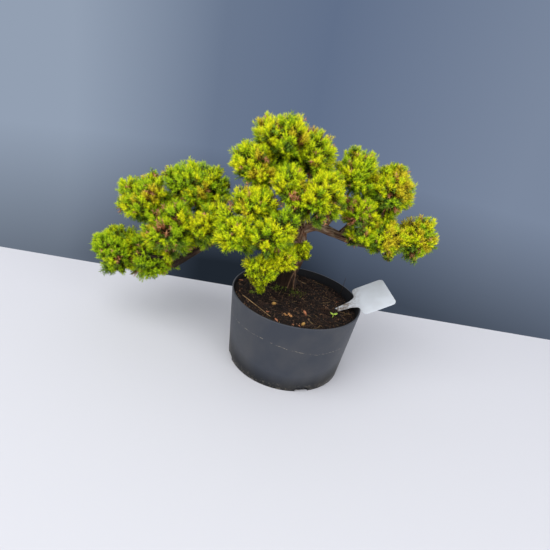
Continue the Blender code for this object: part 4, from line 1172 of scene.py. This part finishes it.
class BONSAI_OT_wood(bpy.types.Operator):
    """Make the trunk, the boughs, the bearing twigs and the hanging stems"""

    bl_idname = "bonsai.wood"
    bl_label = "Trunk and boughs"

    def execute(self, context):
        settings = context.scene.bonsai_wood
        strip = settings.strip
        bark = juniper_bark(settings)
        path, radii = limb_line("trunk", TRUNK_RINGS)
        relief = settings.trunk_relief
        mesh = limb_mesh("trunk_bark", path, radii, TRUNK_SIDES, relief, strip, 1.0, flare=True)
        settle(new_piece("trunk_bark", mesh, [bark]), "bark", "trunk")
        for k, name in enumerate(LIMBS):
            rings, sides = (BOUGH_RINGS, BOUGH_SIDES) if name.endswith("_bough") else (TWIG_RINGS, TWIG_SIDES)
            path, radii = limb_line(name, rings)
            mesh = limb_mesh(name + "_bark", path, radii, sides, settings.limb_relief, strip, 3.0 + k)
            settle(new_piece(name + "_bark", mesh, [bark]), "bark", name)
        peeled = mottled("peeled_juniper_stem", "#553a2a", "#8f6e54", 4 * MM, 0.8)
        for k, (points, thick) in enumerate(HANGING_STEMS):
            name = f"hanging_stem_{k + 1}"
            sizes = [thick * MM * (1 - 0.1 * n) for n in range(len(points))]
            path, radii = smooth_path([place(p) for p in points], sizes, STEM_RINGS)
            mesh = limb_mesh(name, path, radii, STEM_SIDES, 0.4 * MM, strip, 40.0 + k)
            settle(new_piece(name, mesh, [peeled]), "bark")
        return {"FINISHED"}


# --- Foliage --------------------------------------------------------------------------------------

# Juniper needles: waxy and stiff, each shoot of one tone, darker at its old foot and paler at its growing
# tip. The old foot's darkness is partly painted shade deep among the shoots, and the shaded tone is painted
# shade for the undersides, hollows and insides of the masses
NEEDLE_TONES = {
    "fresh": ("#6c621a", "#c6cc08", "#e8e818"),
    "green": ("#586018", "#aec40a", "#d4e014"),
    "deep": ("#465018", "#88ae0e", "#b2cc18"),
    "gold": ("#704e1c", "#bcac18", "#dccc2a"),
    "dead": ("#56301c", "#9e5f3c", "#c68e62"),
    "shaded": ("#2a3812", "#4c6c18", "#7a962a"),
}
NEEDLE_AGES = ("old", "grown", "tip")
FRESH, GREEN, DEEP, GOLD, DEAD, SHADED = range(6)
MASS_TONES = (FRESH, GREEN, DEEP, GOLD, DEAD)  # in the order of a mass's shares
OUTER_SPREADS = (1.0, 0.85, 1.15, 0.95, 0.75, 1.05)  # how wide the needles of each outer shoot stand
OUTER_SHOOTS, INNER_SHOOTS = range(6), range(6, 8)  # variants that show, and plainer ones for inside a lobe
UNDERNEATH = -0.45  # lobes that face further down than this are thinned
UNDERNEATH_GAPS = 0.35  # share of those that are left out
DOWNWARD = -0.2  # sprigs of lobes that face further down than this turn up only a little
LOW_LIFT, LIFT = 0.15, 0.7  # how strongly the sprigs of such a lobe, and of the others, turn up
LOBE_TWIG = 0.8 * MM  # radius of the twig that carries a lobe
SPRIG_TWIG = 0.6 * MM
INNER_COUNT = 9  # plain shoots inside a whole lobe
CELL_SLACK = 3.5 * MM  # how far a sprig may pass the walls of its mass's cell
SPRIG_SINK = 2.5 * MM  # how far a sprig's top may lie inside another lobe
OWN_TONE = 0.45  # share of sprigs that keep their lobe's tone
DEAD_TO_GREEN = 0.55  # share of dead sprigs that come out green after all
AGED = 0.2  # share of shoots that are a step darker than their sprig
# the dark tones that low sprigs take are painted shade under the mass
LOW_DARK, LOWER_DARK = 0.22, 0.45  # chance of a dark tone on a level sprig, and its growth further down
HOLLOW_GAPS = 0.1  # share of sprigs left out in the hollows
HOLLOW_SHADE_AND_DEAD_SHARES = (0.7, 4, 2.5)  # deep, shaded and dead sprigs in the hollows: the deep and shaded ones are painted shade
UP = Vector((0, 0, 1))


class FoliageSettings(bpy.types.PropertyGroup):
    """Sizes and numbers of the lobes, sprigs, shoots and needles."""

    lobe_area: FloatProperty(name="Lobe area", default=4.4,
                             description="Square centimetres of a mass's surface for each lobe")
    lobe_radius: FloatProperty(name="Lobe radius", description="Radius of a lobe of sprigs",
                               default=0.0118, unit="LENGTH")
    sprigs: IntProperty(name="Sprigs", description="Sprigs on a whole lobe", default=16, min=1)
    sprig_radius: FloatProperty(name="Sprig radius", description="Reach of a sprig's shoots to its side",
                                default=0.0040, unit="LENGTH")
    sprig_shoots: IntProperty(name="Shoots", description="Shoots on a sprig", default=5, min=1)
    shoot_length: FloatProperty(name="Shoot length", description="Length of a shoot",
                                default=0.0125, unit="LENGTH")
    needle_length: FloatProperty(name="Needle length", description="Length of an old needle",
                                 default=0.0046, unit="LENGTH")
    needle_width: FloatProperty(name="Needle width", description="Width of a needle at its foot",
                                default=0.0010, unit="LENGTH")
    whorls: IntProperty(name="Whorls", description="Rings of three needles on a shoot", default=8, min=3)
    inner_whorls: IntProperty(name="Inner whorls", default=5, min=3,
                              description="Rings of three needles on a shoot deep in a lobe")


def needle_materials():
    """A finish for each tone and age of needle: satin, from its thin coat of wax."""
    return [new_material(f"juniper_needle_{tone}_{age}", colour, 0.45, 0.12)[0]
            for tone, colours in NEEDLE_TONES.items() for age, colour in zip(NEEDLE_AGES, colours)]


def shoot_mesh(name, rng, settings, spread, whorls):
    """A shoot: whorls of three awl-shaped needles, open at its foot and closed in a bud at its tip."""
    length = settings.shoot_length * rng.uniform(0.9, 1.08)
    verts, faces, parts = [], [], []
    bend = Vector((rng.uniform(-1, 1), rng.uniform(-1, 1), 0)) * 1.0 * MM
    for w in range(whorls):
        t = w / (whorls - 1)
        open_by = math.radians(40 * spread * (1 - t) ** 0.7 + 33)
        reach = settings.needle_length * (1.0 - 0.35 * t)
        for k in range(3):
            angle = math.tau * k / 3 + 1.1 * w + rng.uniform(-0.3, 0.3)
            out = Vector((math.cos(angle), math.sin(angle), 0))
            side = Vector((-out.y, out.x, 0))
            lean = open_by * rng.uniform(0.75, 1.25)
            along = out * math.sin(lean) + UP * math.cos(lean)
            back = along.cross(side)
            foot = Vector((0, 0, length * (0.02 + 0.80 * t))) + bend * t * t + out * 0.2 * MM
            half = settings.needle_width / 2 * (1.0 - 0.2 * t)
            tip = foot + (along + Vector((0, 0, 0.15))) * reach * rng.uniform(0.85, 1.15)
            a, b, c, d = range(len(verts), len(verts) + 4)
            verts += [foot + side * half, foot - side * half, foot + back * half, tip]
            faces += [(a, b, d), (b, c, d), (c, a, d)]
            age = t + rng.uniform(-0.22, 0.22)
            parts += [0 if age < 0.4 else 1 if age < 0.78 else 2] * 3
    mesh = bpy.data.meshes.new(name)
    mesh.from_pydata(verts, [], faces)
    mesh.attributes.new("part", "INT", "FACE").data.foreach_set("value", parts)
    bm = bmesh.new()
    bm.from_mesh(mesh)
    bmesh.ops.recalc_face_normals(bm, faces=bm.faces)
    bm.to_mesh(mesh)
    bm.free()
    mesh.shade_smooth()
    return mesh


def limb_segments(centre, reach):
    """The stretches of limb that come near a mass."""
    found = []
    for name in ("trunk", *LIMBS):
        path, radii = limb_line(name)
        for a, b, radius in zip(path, path[1:], radii):
            if ((a + b) / 2 - centre).length < reach + (b - a).length:
                found.append((a, b, radius))
    return found


def grow_lobes(name, settings, rng):
    """A mass's lobes: (centre, radius, direction). They fill its ellipsoid and bulge to meet one close by."""
    _, centre, sizes, _ = MASSES[name]
    centre, walls = place(centre), cell_walls(name)
    lobes = [(place(at), radius * MM, (place(at) - centre).normalized())
             for at, radius in SPRAYS.get(name, ())]
    area = 0 if name in SPRAYS_ALONE else 4 * math.pi * (sum(sizes) / 3) ** 2
    for direction in spread_directions(round(area / settings.lobe_area), rng, 0.2):
        reach = crown_reach(centre, direction, sizes, walls)
        crowded = reach < 0.6 * surface_reach(direction, sizes)
        if crowded or (direction.z < UNDERNEATH and rng.random() < UNDERNEATH_GAPS):
            continue
        radius = min(settings.lobe_radius * rng.uniform(0.72, 1.2), 0.7 * reach)
        reach *= rng.uniform(0.86, 1.07)
        lobes.append((centre + direction * max(reach - radius, 0.3 * reach), radius, direction))
    return lobes


def sprig_tone(name, main, low, in_hollow, rng):
    """A sprig's tone: its lobe's own or another of its mass's, often a dark one as painted shade where it is
    low or in a hollow.
    """
    shares = MASSES[name][3]
    tone = main if rng.random() < OWN_TONE else rng.choices(MASS_TONES, shares)[0]
    if tone == DEAD and rng.random() < DEAD_TO_GREEN:
        tone = GREEN
    # Painted shade: a sprig low in its mass often takes a dark tone, more often the further down it faces
    if rng.random() < LOW_DARK + LOWER_DARK * low and name not in SPRAYS_ALONE:
        tone = rng.choices((GREEN, DEEP, SHADED, DEAD), (1, 3, 3, 0.5 + shares[DEAD]))[0]
    # Painted shade in a hollow: its sprigs take dark tones, some of them dead
    if in_hollow:
        tone = rng.choices((DEEP, SHADED, DEAD), HOLLOW_SHADE_AND_DEAD_SHARES)[0]
    return tone


def grow_mass(name, settings):
    """Rows for a mass's shoots and twigs. A twig carries each lobe, a lobe its sprigs, a sprig its shoots."""
    limb, centre, sizes, shares = MASSES[name]
    centre, walls = place(centre), cell_walls(name)
    rng = random.Random(name)
    segments = limb_segments(centre, 1.3 * max(sizes) * CM)
    lobes = grow_lobes(name, settings, rng)
    path, radii = limb_line(limb)
    shoots, twigs = [], []

    def twig(a, b, thick):
        """A twig from a to b, unless it is too short to show."""
        along = b - a
        if along.length > 0.5 * MM:
            stretch = (thick, thick, along.length)
            twigs.append((a, along.normalized(), stretch, rng.uniform(0, 6), rng.randrange(3), 0))

    def shoot(foot, axis, wide, long, tone, kinds=OUTER_SHOOTS):
        """A shoot, unless it starts or ends in a limb."""
        if clear_of(foot, segments) and clear_of(foot + axis * long, segments):
            stretch = (wide, wide, long / settings.shoot_length)
            shoots.append((foot, axis, stretch, rng.uniform(0, 6), rng.choice(kinds), tone))

    twig(path[-1], centre, radii[-1] * 0.8)
    for k, (middle, radius, direction) in enumerate(lobes):
        set_by_hand = k < len(SPRAYS.get(name, ()))
        whole = radius / settings.lobe_radius
        facing = (direction + UP * 0.5).normalized()
        lift = LOW_LIFT if direction.z < DOWNWARD else LIFT
        long = min(settings.shoot_length, 1.3 * radius + 2 * MM)
        base = middle - facing * radius * 0.6
        twig(centre, base, LOBE_TWIG)
        main = rng.choices(MASS_TONES, shares)[0]
        for d in spread_directions(max(5, round(settings.sprigs * whole ** 2)), rng, 0.25):
            if d.dot(facing) < -0.2 and not set_by_hand:
                continue
            top = middle + d * radius * (0.84 + 0.38 * rng.random() ** 2.2)
            if any((top - other).length < r - SPRIG_SINK for other, r, _ in lobes if other is not middle):
                continue
            if not set_by_hand and not in_cell(walls, centre, top, CELL_SLACK):
                continue
            in_hollow = any((top - place(at)).length < size * MM for at, size in HOLLOWS)
            if in_hollow and rng.random() < HOLLOW_GAPS:
                continue
            axis = (d * 0.9 + direction * 0.3 + UP * lift).normalized()
            root = top - axis * long
            twig(base, root + axis * 0.5 * long, SPRIG_TWIG)
            tone = sprig_tone(name, main, -(d.z + direction.z), in_hollow, rng)
            side = axis.orthogonal().normalized()
            for turn in range(3 if tone == DEAD else settings.sprig_shoots):
                angle = math.tau * turn / settings.sprig_shoots + rng.uniform(-0.4, 0.4)
                around = Matrix.Rotation(angle, 3, axis)
                out = around @ side * settings.sprig_radius * rng.uniform(0.6, 1.15) * (turn > 0)
                tip = top + out - axis * rng.uniform(0, 2.2) * MM * (turn > 0)
                along = (tip - root).normalized()
                foot = tip - along * long * rng.uniform(0.85, 1.05)
                aged = min(tone + 1, DEEP) if tone < DEEP and rng.random() < AGED else tone
                wide = 0.6 if tone == DEAD else rng.uniform(0.85, 1.1)
                shoot(foot, along, wide, (tip - foot).length, aged)
        for _ in range(round(INNER_COUNT * min(1, whole))):
            d = random_direction(rng)
            axis = (d + direction * 0.5).normalized()
            # Painted shade: shoots deep in a lobe take dark tones, some of them dead, and those of a lone
            # spray are plain green
            inner = rng.choices((DEEP, SHADED, DEAD), (1, 3, 0.7 + shares[DEAD]))[0]
            if name in SPRAYS_ALONE:
                inner = GREEN
            foot = middle - direction * radius * 0.5 + d * 2 * MM
            shoot(foot, axis, 1.3, min(12 * MM, 1.2 * radius), inner, INNER_SHOOTS)
    return shoots, twigs


class BONSAI_OT_foliage(bpy.types.Operator):
    """Grow the needles and twigs of every mass"""

    bl_idname = "bonsai.foliage"
    bl_label = "Foliage"

    def execute(self, context):
        settings = context.scene.bonsai_foliage
        rng = random.Random("shoots")
        shoots = [shoot_mesh("shoot", rng, settings, spread, settings.whorls) for spread in OUTER_SPREADS]
        shoots += [shoot_mesh("inner_shoot", rng, settings, 1.2, settings.inner_whorls) for _ in INNER_SHOOTS]
        shoots = variant_set("shoot", shoots)
        stems = variant_set("stem", [strand_mesh("stem", rng, 0.5, 4, 3) for _ in range(3)])
        needle_tree = scatter_tree("Scatter shoots", needle_materials(), len(NEEDLE_AGES))
        twig_wood = mottled("young_juniper_twig", "#6d3f1c", "#b07a3a", 3 * MM)
        twig_tree = scatter_tree("Scatter twigs", [twig_wood])
        for k, name in enumerate(MASSES):
            shoot_rows, twig_rows = grow_mass(name, settings)
            needles = scatter("needles_" + name, shoot_rows, shoots, needle_tree, 0.08, 10 + k)
            settle(needles, "needles", "foliage_" + name)
            twigs = scatter("twigs_" + name, twig_rows, stems, twig_tree, 0.0, 40 + k)
            settle(twigs, "bark")
        clear_variants(shoots)
        clear_variants(stems)
        return {"FINISHED"}


# --- Stage ----------------------------------------------------------------------------------------

CAMERA_PLACE = (-2.59, -38.23, 26.93)  # in centimetres
CAMERA_PITCH = math.radians(24.77)
CAMERA_ROLL = math.radians(11.20)
LIGHTS_AIM = (-0.03, 0.02, 0.10)
KEY_PLACE = (-0.60, -0.72, 1.14)
KEY_SIZE = 1.7
FILL_PLACE = (0.9, -0.8, 0.6)
FILL_SIZE = 0.9
# corners of the table top in centimetres. Its back edge runs aslant behind the pot
TABLE_CORNERS = ((-220, -220, 0), (220, -220, 0), (220, 27.2, 0), (-220, 1.15, 0))


class StageSettings(bpy.types.PropertyGroup):
    """The table, the light and the camera."""

    table: FloatVectorProperty(name="Table", description="Colour of the table top",
                               subtype="COLOR", default=linear("#cacace"))
    wall_low: FloatVectorProperty(name="Wall foot", description="Colour of the shade behind the table",
                                  subtype="COLOR", default=linear("#1f262f"))
    key_power: FloatProperty(name="Key light", description="Power of the soft key light",
                             default=18.2, unit="POWER")
    fill_power: FloatProperty(name="Fill light", description="Power of the fill light",
                              default=6.5, unit="POWER")
    sky: FloatProperty(name="Sky", description="Strength of the even light from all round", default=0.75)
    lens: FloatProperty(name="Lens", description="Focal length in millimetres", default=27.03)


def painted_board(settings):
    """Board with a roller coat of paint: matt and pale, with a faint grain in the light that grazes it."""
    material, tree, shader = new_material("painted_board", settings.table, 0.55, 0.3)
    at = add_node(tree, "ShaderNodeTexCoord").outputs["Object"]
    grain = add_node(tree, "ShaderNodeTexNoise",
                     {"Vector": at, "Scale": 1 / (2 * MM), "Detail": 2.0, "Roughness": 0.55})
    bump = add_node(tree, "ShaderNodeBump", {"Height": grain, "Strength": 0.04, "Distance": 0.1 * MM})
    tree.links.new(bump.outputs[0], shader.inputs["Normal"])
    return material


def studio_world(settings):
    """Even light from all round. The camera alone sees a blue grey wall instead, with painted light on it,
    paler at the left and darker in the middle, and painted shade along its foot.
    """
    world = bpy.data.worlds.new("studio")
    world.use_nodes = True
    tree = world.node_tree
    tree.nodes.clear()
    sight = add_node(tree, "ShaderNodeTexCoord").outputs["Generated"]
    axes = add_node(tree, "ShaderNodeSeparateXYZ", {"Vector": sight}).outputs
    across = add_node(tree, "ShaderNodeMath", {0: axes["X"], 1: 0.5}, operation="ADD")
    # Painted light across the wall: palest at the left, darkest in the middle
    wall = add_node(tree, "ShaderNodeValToRGB", {"Fac": across},
                    [(0.03, "#93a0b3"), (0.30, "#6a788f"), (0.52, "#61708a"), (0.95, "#7b889e")])
    # Painted shade along the wall's foot, fullest in the middle and weaker at the sides
    low = add_node(tree, "ShaderNodeMapRange",
                   {"Value": axes["Z"], "From Min": -0.16, "From Max": -0.41, "To Min": 0.0, "To Max": 1.0})
    depth = add_node(tree, "ShaderNodeValToRGB", {"Fac": across},
                     [(0.05, 0.56), (0.32, 1.0), (0.56, 1.0), (0.66, 0.80), (0.90, 0.74)])
    shade = add_node(tree, "ShaderNodeMath", {0: low, 1: depth}, operation="MULTIPLY")
    wall = add_node(tree, "ShaderNodeMix", {"Factor": shade, 6: wall, 7: rgba(settings.wall_low)},
                    data_type="RGBA").outputs[2]
    seen = add_node(tree, "ShaderNodeBackground", {"Color": wall, "Strength": 1.0})
    lit = add_node(tree, "ShaderNodeBackground", {"Color": rgba("#f1f4fd"), "Strength": settings.sky})
    ray = add_node(tree, "ShaderNodeLightPath").outputs["Is Camera Ray"]
    both = add_node(tree, "ShaderNodeMixShader", {0: ray, 1: lit, 2: seen})
    add_node(tree, "ShaderNodeOutputWorld", {"Surface": both})
    return world


class BONSAI_OT_stage(bpy.types.Operator):
    """Make the table top, the light and the camera"""

    bl_idname = "bonsai.stage"
    bl_label = "Stage"

    def execute(self, context):
        settings = context.scene.bonsai_stage
        self.table(settings)
        self.light("key", KEY_PLACE, KEY_SIZE, settings.key_power)
        self.light("fill", FILL_PLACE, FILL_SIZE, settings.fill_power)
        context.scene.world = studio_world(settings)
        context.scene.camera = self.camera(settings)
        context.scene.view_settings.view_transform = "Standard"
        return {"FINISHED"}

    def table(self, settings):
        """The table top, with its back edge aslant."""
        bm = bmesh.new()
        bm.faces.new([bm.verts.new(place(corner)) for corner in TABLE_CORNERS])
        grown = bmesh.ops.extrude_face_region(bm, geom=list(bm.faces))
        lower = [v for v in grown["geom"] if isinstance(v, bmesh.types.BMVert)]
        bmesh.ops.translate(bm, verts=lower, vec=(0, 0, -25 * MM))
        mesh = mesh_from(bm, "table_top", smooth=False)
        new_piece("table_top", mesh, [painted_board(settings)])

    def light(self, name, where, size, power):
        """A round soft light that faces the plant."""
        data = bpy.data.lights.new(name, "AREA")
        data.shape = "DISK"
        data.size = size
        data.energy = power
        lamp = bpy.data.objects.new(name, data)
        lamp.location = where
        lamp.rotation_euler = (Vector(LIGHTS_AIM) - Vector(where)).to_track_quat("-Z", "Y").to_euler()
        bpy.context.scene.collection.objects.link(lamp)

    def camera(self, settings):
        """The camera, pitched down at the plant and rolled."""
        data = bpy.data.cameras.new("camera")
        data.lens = settings.lens
        data.sensor_width = 36.0
        data.clip_start = 1 * CM
        forward = Vector((0, math.cos(CAMERA_PITCH), -math.sin(CAMERA_PITCH)))
        level = Vector((1, 0, 0))
        upward = level.cross(forward)
        right = math.cos(CAMERA_ROLL) * level + math.sin(CAMERA_ROLL) * upward
        top = -math.sin(CAMERA_ROLL) * level + math.cos(CAMERA_ROLL) * upward
        turn = Matrix((right, top, -forward)).transposed().to_4x4()
        camera = bpy.data.objects.new("camera", data)
        camera.matrix_world = Matrix.Translation(place(CAMERA_PLACE)) @ turn
        bpy.context.scene.collection.objects.link(camera)
        return camera


# --- Panel and registration -----------------------------------------------------------------------

SETTINGS = {"bonsai_pot": PotSettings, "bonsai_soil": SoilSettings, "bonsai_label": LabelSettings,
            "bonsai_wood": WoodSettings, "bonsai_foliage": FoliageSettings, "bonsai_stage": StageSettings}
OPERATORS = (BONSAI_OT_pot, BONSAI_OT_soil, BONSAI_OT_label, BONSAI_OT_wood, BONSAI_OT_foliage,
             BONSAI_OT_stage)


class BONSAI_PT_panel(bpy.types.Panel):
    """Lists each piece with its settings"""

    bl_label = "Juniper bonsai"
    bl_idname = "BONSAI_PT_panel"
    bl_space_type = "VIEW_3D"
    bl_region_type = "UI"
    bl_category = "Bonsai"

    def draw(self, context):
        for operator, (name, group) in zip(OPERATORS, SETTINGS.items()):
            box = self.layout.box()
            box.operator(operator.bl_idname)
            for setting in group.__annotations__:
                box.prop(getattr(context.scene, name), setting)


def register():
    """Registers the settings, the operators and the panel."""
    for name, group in SETTINGS.items():
        bpy.utils.register_class(group)
        setattr(bpy.types.Scene, name, PointerProperty(type=group))
    for kind in (*OPERATORS, BONSAI_PT_panel):
        bpy.utils.register_class(kind)


def unregister():
    """Takes them away again."""
    for kind in (BONSAI_PT_panel, *reversed(OPERATORS)):
        bpy.utils.unregister_class(kind)
    for name, group in SETTINGS.items():
        delattr(bpy.types.Scene, name)
        bpy.utils.unregister_class(group)


def main():
    """Makes every piece in order."""
    register()
    bpy.ops.bonsai.pot()
    bpy.ops.bonsai.soil()
    bpy.ops.bonsai.label()
    bpy.ops.bonsai.wood()
    bpy.ops.bonsai.foliage()
    bpy.ops.bonsai.stage()
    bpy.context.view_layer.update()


if __name__ == "__main__":
    main()
